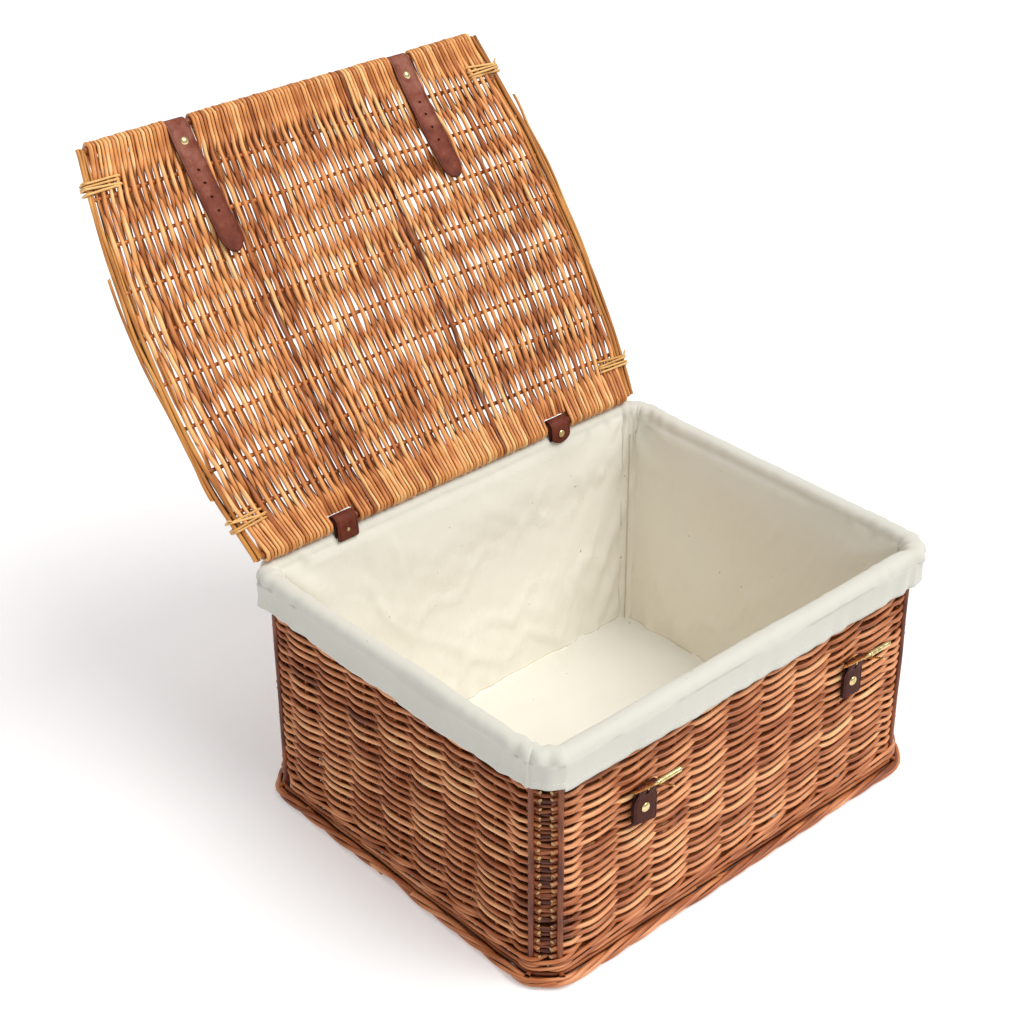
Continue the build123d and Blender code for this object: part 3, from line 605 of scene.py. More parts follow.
def weave_wall(index, side):
    rods = Rods()
    for row in range(ROWS):
        rng = np.random.default_rng(1000 * index + row)
        joins = row_joins(rng, row, WALLS[side][4])
        for first, last in zip(joins[:-1], joins[1:]):
            wall_rod(rods, rng, index, side, row, first, last)
    rods.build("weave_wall_" + side, M_WALL, "wicker_wall", "wall_" + side)


def weave_corners():
    """Short rods across each cut corner, between its two posts."""
    rods = Rods()
    for sx, sy in CORNERS:
        post_a = np.array([sx * POST_A[0], sy * POST_A[1]])
        post_b = np.array([sx * POST_B[0], sy * POST_B[1]])
        outward = unit([sx, sy])
        for row in range(ROWS):
            rng = np.random.default_rng(9000 + 100 * (sx + 1) + 10 * (sy + 1) + row * 7)
            t = np.linspace(-0.12, 1.12, 15)
            offset = (-0.9 if row % 2 else -2.3) - 3.4 * (np.abs(t - 0.5) * 2) ** 2.6
            flat = post_a + (post_b - post_a) * t[:, None] + outward * offset[:, None]
            z = ROW_Z0 + ROW_PITCH * row + 0.9 * rng.normal() + 2.6 * (t - 0.5) * rng.normal()
            rods.add(np.column_stack([flat, z]), 2.15 + 0.2 * rng.normal(), [*outward, 0],
                     0.06 + 0.17 * rng.normal())
    rods.build("weave_corners", M_WALL, "wicker_wall", "corner_weave")


def corner_posts():
    rods = Rods(12)
    z = np.linspace(*UPRIGHT_Z, 40)
    for sx, sy in CORNERS:
        for px, py in (POST_A, POST_B):
            rng = np.random.default_rng(int(px + 3 * py + 7 * sx + 11 * sy) + 5000)
            points = np.column_stack([sx * px + 0.3 * fine_wave(z, px),
                                      sy * py + 0.3 * fine_wave(z, py), z])
            rods.add(points, POST_R, [sx, sy, 0.2],
                     0.04 + 0.05 * rng.normal() + 0.10 * tone_wave(z * 3, px))
    rods.build("corner_posts_rods", M_WALL, "wicker_rods", "corner_posts")


def wall_stakes():
    rods = Rods()
    z = np.linspace(*UPRIGHT_Z, 30)
    for start, along, outward, length, bays in WALLS.values():
        for k in range(1, bays):
            x, y = start + along * (length / bays * k)
            rods.add(np.column_stack([np.full(30, x), np.full(30, y), z]), STAKE_R,
                     [*outward, 0.1], 0.35)
    # a close row of darker uprights behind the weave by every corner keeps daylight out; their dark
    # colour is painted shade where the gaps show only shade
    z = np.linspace(16, 212, 20)
    for index, (start, along, outward, length, bays) in enumerate(WALLS.values()):
        for from_corner in (7.0, 12.6, 18.2, 23.8, 29.4):
            for dist in (from_corner, length - from_corner):
                x, y = start + along * dist - outward * 8.2
                points = np.column_stack([x + 0.25 * fine_wave(z, dist + 50 * index),
                                          y + 0.25 * fine_wave(z, dist + 900), z])
                rods.add(points, 2.75, [*outward, 0.1],
                         0.18 + 0.08 * tone_wave(z * 3, dist, index * 90))
    rods.build("wall_stake_rods", M_WALL, "wicker_rods", "wall_stakes")


for wall_index, wall_side in enumerate(WALLS):
    weave_wall(wall_index, wall_side)
weave_corners()
corner_posts()
wall_stakes()

# ------------------------------------------------------------------ rods that run all round
stake_places = []
for wall_side in ("left", "front", "right", "back"):
    start, along, _, length, bays = WALLS[wall_side]
    stake_places += [start + along * (length / bays * k) for k in range(bays + 1)]
N_STAKES = len(stake_places)
stake_loop = np.array(stake_places + stake_places[:1])
STAKE_DIST = run_length(stake_loop)
GIRTH = STAKE_DIST[-1]
N_FINE = int(GIRTH)
fine_dist = np.arange(N_FINE) * GIRTH / N_FINE
girth_line = np.column_stack([np.interp(fine_dist, STAKE_DIST, stake_loop[:, k]) for k in (0, 1)])


def smooth_loop(points, sigma):
    """Gaussian smoothing of a closed line."""
    freq = np.fft.rfftfreq(len(points)) * 2 * math.pi
    gain = np.exp(-0.5 * (freq * sigma) ** 2)[:, None]
    return np.fft.irfft(np.fft.rfft(points, axis=0) * gain, len(points), axis=0)


girth_line = smooth_loop(girth_line, 5.0)
girth_along = unit(np.roll(girth_line, -1, 0) - np.roll(girth_line, 1, 0))
girth_normal = np.column_stack([girth_along[:, 1], -girth_along[:, 0]])


def ring_rod(rods, dist, offset, z, radius, tint, **ends):
    """A rod round the basket, offset outward from the line of the stakes."""
    place = dist % GIRTH * N_FINE / GIRTH
    i = np.floor(place).astype(int) % N_FINE
    j = (i + 1) % N_FINE
    t = (place - np.floor(place))[:, None]
    normal = unit(girth_normal[i] * (1 - t) + girth_normal[j] * t)
    flat = girth_line[i] * (1 - t) + girth_line[j] * t + normal * offset[:, None]
    rods.add(np.column_stack([flat, z]), radius,
             np.column_stack([normal, np.zeros(len(dist))]), tint, **ends)


def bottom_wale():
    """Two bands of three rods, each rod over two stakes and behind one."""
    rods = Rods()
    t = np.linspace(0.05, N_STAKES - 0.05, N_STAKES * 12)
    dist = np.interp(t, np.arange(N_STAKES + 1), STAKE_DIST)
    fade = np.clip(np.minimum(t, N_STAKES - t) / 0.4, 0, 1)
    for z in (19.4, 26.4):
        for k in range(3):
            x = (t - k) % 3
            swing = np.where(x < 1, -np.cos(math.pi * x),
                             np.where(x < 2, 1.0 + 0.12 * np.sin(math.pi * (x - 1)),
                                      np.cos(math.pi * (x - 2))))
            offset = 4.75 * swing * fade - 4.0 * (1 - fade)
            x = (x - 0.5) % 3
            rise = np.where(x < 2, -3.7 + 3.7 * x, 3.7 - 7.4 * (x - 2)) * fade
            # painted highlight and shade: lighter where a rod passes outside the stakes, darker
            # behind them
            tint = 0.40 + 0.16 * tone_wave(dist * 1.7, z * 9, k * 50) + 0.12 * swing
            ring_rod(rods, dist, offset, z + rise, 2.0 * (1 + 0.05 * fine_wave(dist, k * 90)),
                     tint)
    rods.build("bottom_wale_rods", M_WALL, "wicker_wall", "bottom_wale")


# foot border rods: height, offset out, swing in height, swing in offset, radius, phase
FOOT_RODS = (
    (6.3, WALL_MID + 3.3, 3.3, 1.7, 2.55, 0.0),
    (6.3, WALL_MID + 3.3, 3.3, 1.7, 2.5, 2.09),
    (6.3, WALL_MID + 3.3, 3.3, 1.7, 2.55, 4.19),
    (4.8, WALL_MID - 2.6, 0.5, 0.5, 2.8, 0.0),
    (10.3, WALL_MID - 3.2, 0.4, 0.5, 2.3, 1.0),
)


def foot_border():
    rods = Rods(12)
    turns = round(GIRTH / 118.0)
    up = np.array([0, 0, 1.0])
    for k, (z0, out0, z_swing, out_swing, r0, phase0) in enumerate(FOOT_RODS):
        start = 40.0 + 170 * k
        finish = GIRTH + 40.0 + 170 * k
        while start < finish - 60:
            rng = np.random.default_rng(int(start) * 3 + k)
            length = min(float(rng.uniform(230, 420)), finish + 14 - start)
            dist = np.linspace(start, start + length, int(length / 5))
            phase = 2 * math.pi * turns * dist / GIRTH + phase0 + 0.35 * fine_wave(dist * 0.5, 700)
            offset = out0 + out_swing * np.cos(phase) + 0.4 * fine_wave(dist * 0.9, k * 300)
            offset = offset - 1.6 * bell(dist - start, 14)
            z = z0 + z_swing * np.sin(phase) + 0.2 * height_wave(dist * 1.3, k * 400)
            radius = r0 * np.linspace(1.06, 0.88, len(dist))
            # painted highlight and shade: lighter where the rod swings out, darker where it swings
            # in
            tint = (0.42 + 0.13 * rng.normal() + 0.14 * tone_wave(dist, k * 77)
                    + 0.08 * np.cos(phase))
            ring_rod(rods, dist, offset, np.maximum(z, radius + 0.25), radius, tint,
                     slants=((up, 0.7), (up, 0.8)))
            start += length - 10
    # stub ends turned out at each corner
    for sx, sy in CORNERS:
        diagonal = unit([sx, sy])
        for (px, py), out in ((POST_A, np.array([0.0, sy])), (POST_B, np.array([sx, 0.0]))):
            post = np.array([sx * px, sy * py])
            lean = unit(out * 0.75 + diagonal * 0.6)
            rods.add([[*(post - out * 3), 12.6], [*(post + lean * 5), 12.2],
                      [*(post + lean * 9.5), 11.6]], 2.3, [0, 0, 1], 0.25,
                     slants=(None, (np.array([*diagonal, 0.3]), 0.5)), caps=(True, False))
    rods.build("foot_border_rods", M_WALL, "wicker_rods", "base_border")


BASE_Z = 5.0
BASE_STICK_X0, BASE_STICK_PITCH, BASE_STICKS = -195.0, 65.0, 7
BASE_ROW_PITCH = 3.35


def base_mat():
    rods = Rods(6)
    half_x, half_y = HALF_X - WALL_T - 1.0, HALF_Y - WALL_T - 1.0
    x = np.linspace(-half_x, half_x, 66)
    for row in range(int(2 * half_y / BASE_ROW_PITCH)):
        y = -half_y + 1.7 + BASE_ROW_PITCH * row
        swing = 3.45 * np.cos(math.pi * ((x - BASE_STICK_X0) / BASE_STICK_PITCH + row))
        rng = np.random.default_rng(600 + row)
        rods.add(np.column_stack([x, y + 0.3 * fine_wave(x, y), BASE_Z + swing]),
                 1.5 * (1 + 0.04 * rng.normal()), [0, 0, 1], 0.5 + 0.15 * rng.normal())
    rods.build("base_mat_rods", M_LID, "wicker_wall", "base_weave")
    sticks = Rods(8)
    y = np.linspace(-HALF_Y + 5, HALF_Y - 5, 30)
    for i in range(BASE_STICKS):
        x = np.full(30, BASE_STICK_X0 + BASE_STICK_PITCH * i)
        sticks.add(np.column_stack([x, y, np.full(30, BASE_Z)]), 2.15, [0, 0, 1], 0.4)
    sticks.build("base_stick_rods", M_WALL, "wicker_rods", "base_sticks")


def rim_border():
    rods = Rods(10)
    for strand in range(3):
        for k, z in enumerate((242.5, 250.0, 257.5)):
            dist = np.linspace(10 + 100 * k, GIRTH + 10 + 100 * k, 420)
            phase = dist / GIRTH * 2 * math.pi * 27 + strand * 2 * math.pi / 3
            ring_rod(rods, dist, 3.1 * np.cos(phase), z + 3.0 * np.sin(phase), 2.9, 0.35)
    rods.build("rim_border_rods", M_WALL, "wicker_wall", "rim_border")


bottom_wale()
foot_border()
base_mat()
rim_border()

# ------------------------------------------------------------------ lid
LID_EDGE_RODS = {name: box_mm(name) for name in ("lid_hinge_rod", "lid_front_rod")}
hinge_rod_depth = LID_EDGE_RODS["lid_hinge_rod"][1][2] - LID_EDGE_RODS["lid_hinge_rod"][0][2]
EDGE_ROD_R = hinge_rod_depth / 2 if hinge_rod_depth < 12 else 4.0
LID_STICKS = 8
LID_BAY = LID_LEN / (LID_STICKS + 1)
LID_STRANDS = 115
LID_MESHES = 4
STRAND_R = 2.30
strand_wave = Wave(31, (10, 34, 10))
broad_wave = Wave(32, (60, 120, 60))
streak_wave = Wave(33, (9, 300, 9))
lid_tone_wave = Wave(34, (70, 70, 70))
lean_wave = Wave(35, (60, 30, 60))


def ease_between(x, knots, values):
    """Half-cosine steps from knot to knot."""
    i = np.clip(np.searchsorted(knots, x) - 1, 0, len(knots) - 2)
    t = np.clip((x - knots[i]) / (knots[i + 1] - knots[i]), 0, 1)
    t = (1 - np.cos(math.pi * t)) / 2
    return values[i] * (1 - t) + values[i + 1] * t


def strand_u(share, v):
    """u of a strand lying at a share of the way from the left side to the right."""
    v = np.clip(v, 0, LID_LEN)
    left, right = side_x(LID_LEFT, v, 7.5), side_x(LID_RIGHT, v, 7.5)
    return left + (right - left) * share


def wrap_round_rod(rng, u, radius):
    """A strand's turn over an edge rod and its tuck behind the lid, v counted from the rod."""
    tuck = 20 + 10 * rng.random()
    shift = 1.2 * rng.normal()
    angle = np.radians(np.arange(104, 249, 24))
    turn = np.column_stack([np.full(7, u), radius * np.cos(angle), radius * np.sin(angle)])
    tail = [[u + shift * 0.3, 3.0, -radius + 0.1], [u + shift * 0.7, 10.0, -radius + 0.9],
            [u + shift, tuck, -radius + 1.8]]
    return np.concatenate([turn, tail])


def lid_strand(rods, index):
    """One strand from the hinge rod over the cross sticks to the front rod."""
    rng = np.random.default_rng(4000 + index)
    share = (index + 0.5) / LID_STRANDS
    swing = (2.1 + STRAND_R - 0.3) * (1 + 0.06 * rng.normal())
    knots = np.concatenate([[-20, 0, 20], LID_BAY * np.arange(1, LID_STICKS + 1),
                            [LID_LEN - 20, LID_LEN, LID_LEN + 20]])
    signs = np.array([(-1) ** (k + index) for k in range(LID_STICKS)])
    by_hinge, by_front = (3.4 + 0.5 * rng.normal() for _ in range(2))
    on_rod = EDGE_ROD_R + 0.86 * STRAND_R
    values = np.concatenate([[on_rod, on_rod, by_hinge], swing * signs,
                             [by_front, on_rod, on_rod]])
    u_hinge, u_front = float(strand_u(share, 0.0)), float(strand_u(share, LID_LEN))
    # strands stop short of the edge rod under the hinge bands and the straps
    at_band = min(abs(u_hinge - x) for x in BAND_X.values()) < 16.2
    at_strap = min(abs(u_front - x) for x in STRAP_X.values()) < 14.8
    v0 = 9.0 + 0.6 * rng.random() if at_band else 0.0
    v1 = LID_LEN - 10.0 - 0.8 * rng.random() if at_strap else LID_LEN
    hinge_wrap, front_wrap = (
        on_rod + 0.25 * (index % 2) + float(np.clip(0.25 * rng.normal(), -0.2, 0.3))
        for _ in range(2))
    v = np.linspace(v0, v1, int((v1 - v0) / 3.9))
    w = ease_between(v, knots, values)
    if at_strap:
        w = w + np.clip((v - (LID_LEN - 42)) / 16, 0, 1) * (0.3 - w)
    if at_band:
        w = w + np.clip((30 - v) / 14, 0, 1) * (0.8 - w)
    w = w * (1 + 0.10 * broad_wave(u_hinge, v)) + 0.45 * strand_wave(u_hinge * 3, v)
    inside = np.clip(np.minimum(v - 18, LID_LEN - 18 - v) / 18, 0, 1)
    u = strand_u(share, v)
    # strands lean over the sticks by varying amounts, which opens and shuts the slits
    lean = (0.35 + 0.13 * lean_wave(u * 0.35, v * 1.3)
            + 0.12 * strand_wave(u_hinge * 2 + 333, v * 0.6))
    u = u - inside * np.clip(lean, 0.05, 0.75) * w
    u = u + (0.55 * strand_wave(u_hinge * 3 + 900, v)
             + 0.30 * streak_wave(u_hinge * 2.2, v * 5)) * inside
    u = u + 0.8 * broad_wave(u * 0.5, v * 0.5) * inside
    at_end = np.clip(1.6 - np.minimum(v, LID_LEN - v) / 16, 0, 1)
    radius = STRAND_R * (1 + 0.07 * rng.normal())
    radius = radius * np.linspace(1.05, 0.95, len(v))[::1 if index % 2 else -1]
    radius = radius * (1 - 0.10 * at_end)
    # painted highlight and shade: lighter where a strand rises over a stick on the inner face,
    # darker where it crosses between sticks; also darker near the edge rods
    tint = (0.60 - 0.17 * at_end + 0.23 * rng.normal() + 0.14 * streak_wave(u_hinge * 0.5, v)
            + 0.05 * lid_tone_wave(u + 500, v) + 0.15 * w / swing
            + 0.10 * (2 * np.abs(w / swing) - 1))
    points = np.column_stack([u, v, w])
    for end, stops_short, wrap_r in ((0, at_band, hinge_wrap), (-1, at_strap, front_wrap)):
        if stops_short:
            continue
        wrap = wrap_round_rod(rng, u[end], wrap_r)
        if end == -1:
            wrap[:, 1] = LID_LEN - wrap[:, 1]
        points = extend(points, wrap, end == 0)
        radius = extend(radius, np.full(len(wrap), radius[end]), end == 0)
        tint = extend(tint, np.full(len(wrap), tint[end]), end == 0)
    rods.add(lid_xyz(points), radius, [1.0, 0, 0], np.clip(tint, 0, 1))


def lid_weave():
    groups = [Rods() for _ in range(LID_MESHES)]
    for i in range(LID_STRANDS):
        lid_strand(groups[i * LID_MESHES // LID_STRANDS], i)
    for k, rods in enumerate(groups):
        rods.build("lid_weave_%d" % (k + 1), M_LID, "wicker_lid", "lid_weave", body="lid")


def lid_sticks():
    rods = Rods()
    for k in range(LID_STICKS):
        v = LID_BAY * (k + 1)
        rng = np.random.default_rng(70 + k)
        u = np.linspace(side_x(LID_LEFT, v) - 0.5, side_x(LID_RIGHT, v) + 0.5, 70)
        points = np.column_stack([u, v + 0.8 * broad_wave(u, v), 0.25 * broad_wave(u + 100, v)])
        # painted shade: the sticks are dark, so where they show between the strands they read as
        # shade
        rods.add(lid_xyz(points), 2.15 * (1 + 0.05 * rng.normal()), LID_W,
                 0.34 + 0.10 * rng.normal() + 0.16 * lid_tone_wave(u, v))
    rods.build("lid_cross_sticks", M_LID, "wicker_rods", "lid_sticks", body="lid")


def lid_edge_rods():
    for v, (name, (lo, hi)) in zip((0.0, LID_LEN), LID_EDGE_RODS.items()):
        rods = Rods(12)
        u = np.linspace(lo[0] - 1.0, hi[0] + 1.0, 90)
        rods.add(lid_xyz(np.column_stack([u, np.full(90, v), np.zeros(90)])), 3.95, LID_W,
                 0.25 + 0.1 * lid_tone_wave(u, v))
        rods.build(name + "_willow", M_LID, "wicker_rods", name, body="lid")


# lid side rods: outward shift, w, radius, v at each end
SIDE_RODS = (
    (2.6, 1.2, 2.15, -3, LID_LEN + 3), (-1.4, 2.6, 2.0, -2, LID_LEN + 2),
    (-0.6, -2.2, 2.2, -4, LID_LEN + 4), (-4.4, 0.2, 1.9, -1, LID_LEN + 1),
)
SHORT_SIDE_RODS = {
    1: ((5.6, 0.4, 1.7, 150, 352), (-7.2, 2.6, 1.5, 90, 330)),
    -1: ((5.4, 0.6, 1.7, 66, 300), (-7.0, 2.4, 1.5, 120, 372)),
}


def lid_side_rods():
    rods = Rods(10)
    for sign, curve in ((-1, LID_LEFT), (1, LID_RIGHT)):
        rng = np.random.default_rng(88 + sign)
        for k, (out, w0, r0, va, vb) in enumerate(SIDE_RODS + SHORT_SIDE_RODS[sign]):
            v = np.linspace(va, vb, int((vb - va) / 6))
            on_lid = np.clip(v, 0, LID_LEN)
            bow = 1.0 + 0.3 * np.sin(on_lid / 70.0 + k)
            u = side_x(curve, on_lid) + sign * (
                out * bow + 0.8 * broad_wave(v * 0.9, k * 300 + sign * 100))
            w = w0 + 0.9 * broad_wave(v * 0.9 + 400, k * 200 + sign * 50)
            if k == 4:  # the outer short rod springs away at one end
                spring_v = vb - 26 if sign > 0 else va + 26
                u = u + sign * 3.2 / (1 + np.exp(-sign * (v - spring_v) / 6))
            slant = (np.array([float(sign), 0, 0]), 0.6) if k > 3 else None
            rods.add(lid_xyz(np.column_stack([u, v, w])), r0 * np.linspace(1.06, 0.92, len(v)),
                     LID_W, 0.55 + 0.14 * rng.normal() + 0.14 * lid_tone_wave(u, v + k * 40),
                     slants=(slant, slant))
    rods.build("lid_side_bundles", M_SIDE, "wicker_rods", "lid_side_rods", body="lid")


def lid_lashings():
    """Four turns of skein round each end of the lid's sides, with a loose end."""
    rods = Rods(8)
    angle = np.linspace(0, 2 * math.pi, 44)
    # rounded-square section, -1 to 1
    across, through = (np.sign(c) * np.abs(c) ** 0.33 for c in (np.cos(angle), np.sin(angle)))
    for sign, curve in ((-1, LID_LEFT), (1, LID_RIGHT)):
        for v_mid in (37.0, 386.0):
            rng = np.random.default_rng(int(v_mid) * 5 + sign)
            for k in range(4):
                v = v_mid + (k - 1.5) * 3.3
                outer = side_x(curve, v) + sign * 6.2
                inner = side_x(curve, v) - sign * (31.5 + 3.0 * rng.random())
                lean = 1.5 * rng.normal() * across
                points = np.column_stack([
                    (outer + inner) / 2 + across * abs(outer - inner) / 2,
                    v + lean + 1.6 * (angle / (2 * math.pi) - 0.5),
                    through * 6.3 + 0.25 * rng.normal()])
                rods.add(lid_xyz(points), 1.3, [1, 0, 0], 0.55 + 0.15 * rng.normal())
            v = v_mid + 6.5
            u = side_x(curve, v)
            loose = [[u + sign * 4, v - 2, 6.6], [u + sign * 6.5, v, 5.5],
                     [u + sign * 9.0, v + 1.2 * sign, 4.0]]
            rods.add(lid_xyz(loose), 0.9, [0, 1, 0], 0.5)
    rods.build("lid_corner_skeins", M_STRAW, "wicker_rods", "lid_corner_lashings", body="lid")


lid_weave()
lid_sticks()
lid_edge_rods()
lid_side_rods()
lid_lashings()

# ------------------------------------------------------------------ lining: section and outline
N_LONG, N_SHORT, N_CORNER = 150, 120, 22  # points on each stretch of the outline
LINING_X, LINING_Y = ((lining_hi[k] - lining_lo[k]) / 2 for k in (0, 1))
CUFF_OUT = cuff_hi[0] - HALF_X
CUFF_IN = 14.6
ROLL_H = 12.5
CLOTH_T = 1.2
ROLL_Z = CUFF_TOP - ROLL_H
SKIRT, ROLL, INSIDE = 0, 1, 2


def outline(half_x, half_y, cut, bulge=0.2):
    """Closed line, eight sided with softened corners, the same point count at every level."""
    near_x, near_y = half_x - cut, half_y - cut
    ends = np.array([[-near_x, -half_y], [near_x, -half_y], [half_x, -near_y], [half_x, near_y],
                     [near_x, half_y], [-near_x, half_y], [-half_x, near_y], [-half_x, -near_y]])
    ways = np.array([[1, 0], [0, 1], [-1, 0], [0, -1]]) * cut * bulge
    points = []
    for k, count in enumerate((N_LONG, N_SHORT, N_LONG, N_SHORT)):
        a, b, c = ends[2 * k], ends[2 * k + 1], ends[(2 * k + 2) % 8]
        points.append(a + (b - a) * (np.arange(count) / count)[:, None])
        t = (np.arange(N_CORNER) / N_CORNER)[:, None]
        points.append((1 - t) ** 3 * b + 3 * (1 - t) ** 2 * t * (b + ways[k])
                      + 3 * (1 - t) * t * t * (c - ways[(k + 1) % 4]) + t ** 3 * c)
    return np.concatenate(points)


def lining_profile():
    """Rows of half x, half y, corner cut, z, kind: up outside, over the rim, down inside."""
    rows = []
    for z in np.linspace(CUFF_Z0 + 0.4, ROLL_Z, 15):
        k = (z - CUFF_Z0) / (ROLL_Z - CUFF_Z0)
        out = CUFF_OUT - 0.2 - 0.6 * math.sin(math.pi * k)
        rows.append((HALF_X + out, HALF_Y + out, 24.0, z, SKIRT))
    roll_r = (CUFF_OUT + CUFF_IN) / 2 - 0.2
    for a in np.radians(np.linspace(6, 174, 15)):
        cos, sin = math.cos(a), math.sin(a)
        out = (CUFF_OUT - CUFF_IN) / 2 + roll_r * math.copysign(abs(cos) ** 0.78, cos)
        rows.append((HALF_X + out, HALF_Y + out, 24.0 - 0.586 * (CUFF_OUT - out) * 0.9,
                     ROLL_Z + ROLL_H * abs(sin) ** 0.85, ROLL))
    top_x, top_y = HALF_X - CUFF_IN - 0.1, HALF_Y - CUFF_IN - 0.1
    turn_z = FLOOR_TOP + 7.0
    for k in np.linspace(0.0, 1, 36) ** 0.9:
        belly = 1.6 * math.sin(math.pi * k)
        rows.append((top_x + (LINING_X - top_x) * k + belly,
                     top_y + (LINING_Y - top_y) * k + belly, 13.0 - 2.0 * k,
                     ROLL_Z - 1.0 - (ROLL_Z - 1.0 - turn_z) * k, INSIDE))
    for a in np.radians(np.linspace(15, 90, 6)):
        inset = 6.5 * (1 - math.cos(a))
        rows.append((LINING_X - inset, LINING_Y - inset, 11.0, turn_z - 5.6 * math.sin(a), INSIDE))
    return np.array(rows)


profile = lining_profile()
rings = np.array([outline(*row[:3]) for row in profile])
N_ROW, N_RING = shape = rings.shape[:2]
ring_along = unit(np.roll(rings, -1, 1) - np.roll(rings, 1, 1))
outward = np.stack([ring_along[..., 1], -ring_along[..., 0], np.zeros(shape)], -1)
MID_ROW = 20
arc = run_length(rings[MID_ROW])
Z = np.broadcast_to(profile[:, 3][:, None], shape)
S = np.broadcast_to(arc[None, :], shape)
is_skirt, is_roll, is_inside = (profile[:, 4][:, None] == kind for kind in (SKIRT, ROLL, INSIDE))
ring_index = np.arange(N_RING)
corner_mid = np.array([
    N_LONG, N_LONG + N_CORNER + N_SHORT, 2 * N_LONG + 2 * N_CORNER + N_SHORT,
    2 * N_LONG + 3 * N_CORNER + 2 * N_SHORT]) + N_CORNER // 2

# ------------------------------------------------------------------ lining: folds
fold_wave = Wave(51, (17, 60, 17))
crease_wave = Wave(52, (70, 70, 70))
sag_wave = Wave(53, (150, 90, 90))
pucker_wave = Wave(54, (7, 26, 9))
from_corners = ring_index[:, None] - corner_mid[None, :]
near = bell(np.min(np.abs(from_corners), axis=1), 26.0)[None, :]  # 1 at the corners


def corner_fan():
    """Gathers that fan down from each corner of the rim."""
    side = arc[:, None] - arc[corner_mid][None, :]
    side = (side + arc[-1] / 2) % arc[-1] - arc[-1] / 2
    side = side[ring_index, np.argmin(np.abs(side), axis=1)][None, :]
    drop = np.maximum(CUFF_TOP - 6 - Z, 0)
    reach = np.hypot(side, drop)
    angle = np.arctan2(side, drop + 7.0)
    return (np.sin(angle * 8.5 + 1.1 * crease_wave(S * 0.7, Z * 0.5)) * bell(reach, 85.0)
            * (1 - bell(reach, 13.0)) * (1 - bell(side, 8.0)))


def inside_folds():
    """How far the inner cloth hangs in from its profile."""
    deep = np.clip((CUFF_TOP - 12 - Z) / 60, 0, 1)
    ridge = 1 - np.abs(crease_wave(S * 0.8 + 0.5 * Z, Z * 0.9 - 0.3 * S))
    folds = (1.1 * crease_wave(S, Z) * deep + 2.7 * sag_wave(S, Z) * deep
             + near * deep * 2.6 * fold_wave(S * 0.7 + Z * 0.5, Z * 0.4)
             + 0.6 * deep * pucker_wave(S + 0.4 * Z, Z)
             + 1.9 * deep * np.clip(ridge - 0.8, 0, 1) * 5)
    folds = folds + 3.0 * corner_fan()
    # slack cloth hangs in under the roll, except at the hinge bands
    at_band = np.zeros((1, N_RING))
    for x in BAND_X.values():
        by_band = bell(rings[MID_ROW][:, 0] - x, 30.0) * (rings[MID_ROW][:, 1] > 0)
        at_band = np.maximum(at_band, by_band[None, :])
    folds = folds + 4.0 * bell(CUFF_TOP - 46 - Z, 30.0) * (1 - at_band) * (1 - 0.7 * near)
    folds = folds + bell(Z - FLOOR_TOP - 4, 17.0) * 1.6 * fold_wave(S * 0.75 + 40, Z * 0.2)
    return is_inside * folds


def cloth_shift():
    """Outward shift of every point of the cloth."""
    inner = inside_folds()
    skirt = is_skirt * (
        0.8 * fold_wave(S, Z * 0.5) * (0.25 + bell(Z - CUFF_Z0, 10.0))
        + 0.9 * crease_wave(S * 1.2, Z) + 1.7 * near * fold_wave(S * 1.4, Z * 0.3))
    roll = is_roll * (0.30 * fold_wave(S * 1.1, Z) + 0.45 * crease_wave(S, Z)
                      + 1.9 * near * fold_wave(S * 1.5, Z * 0.2))
    shift = -np.abs(inner) * 0.35 - inner * 0.65 + skirt + roll
    # the cuff is drawn in along a line beside each corner, the inside along the corner itself
    pinch = bell(from_corners - np.array([8, -8, 8, -8]), 1.3).sum(1)[None, :]
    corner_line = bell(from_corners, 1.6).sum(1)[None, :]
    return shift + ~is_inside * (0.3 - pinch * 1.5) - is_inside * corner_line * 0.8


def cloth_points():
    points = rings_3d = np.dstack([rings, Z]) + outward * cloth_shift()[..., None]
    lift = np.clip((CUFF_TOP - 8 - Z) / (CUFF_TOP - 8 - CUFF_Z0), 0, 1) * is_skirt
    points[..., 2] = (Z + is_roll * 0.45 * (crease_wave(S * 1.3 + 200, Z) - 1.6)
                      + lift * (4.0 + 4.5 * near + 1.1 * crease_wave(S * 0.6 + 500)))
    return points


def cloth_attributes():
    run = run_length(profile[:, [0, 3]])[:, None]
    # facing weights the painted warm shade by the way an inner wall faces
    facing = (np.clip(outward[..., 0], 0, 1) + np.clip(-outward[..., 1], 0, 1) * 0.6
              + np.clip(outward[..., 1], 0, 1) * 0.18)
    over_roll = np.clip((np.arange(N_ROW)[:, None] - 14) / 15.0, 0, 1)
    # painted grey shade: strongest on the outer face of the cuff, fading over the roll and down
    # from the top of the inside
    cool = np.where(is_skirt, 0.92, np.where(is_roll, 0.34 + 0.58 * (1 - over_roll) ** 0.7,
                                             0.34 * np.exp((Z - (CUFF_TOP - 9)) / 30.0)))
    # painted warm shade on the inner right and front walls, stronger lower down
    warm = (0.50 * is_inside * facing * np.clip((CUFF_TOP - 14 - Z) / 90, 0, 1) ** 0.7
            * (0.75 + 0.2 * sag_wave(S, Z)))
    cloth = np.stack([S * MM, np.broadcast_to(run, shape) * MM, np.zeros(shape)], -1)
    return {"cloth": cloth, "seam": np.zeros(shape), "warm": warm, "cool": cool}


def thicken(ob):
    thick = ob.modifiers.new("thick", "SOLIDIFY")
    thick.thickness = CLOTH_T * MM
    thick.offset = 0.0
    return thick


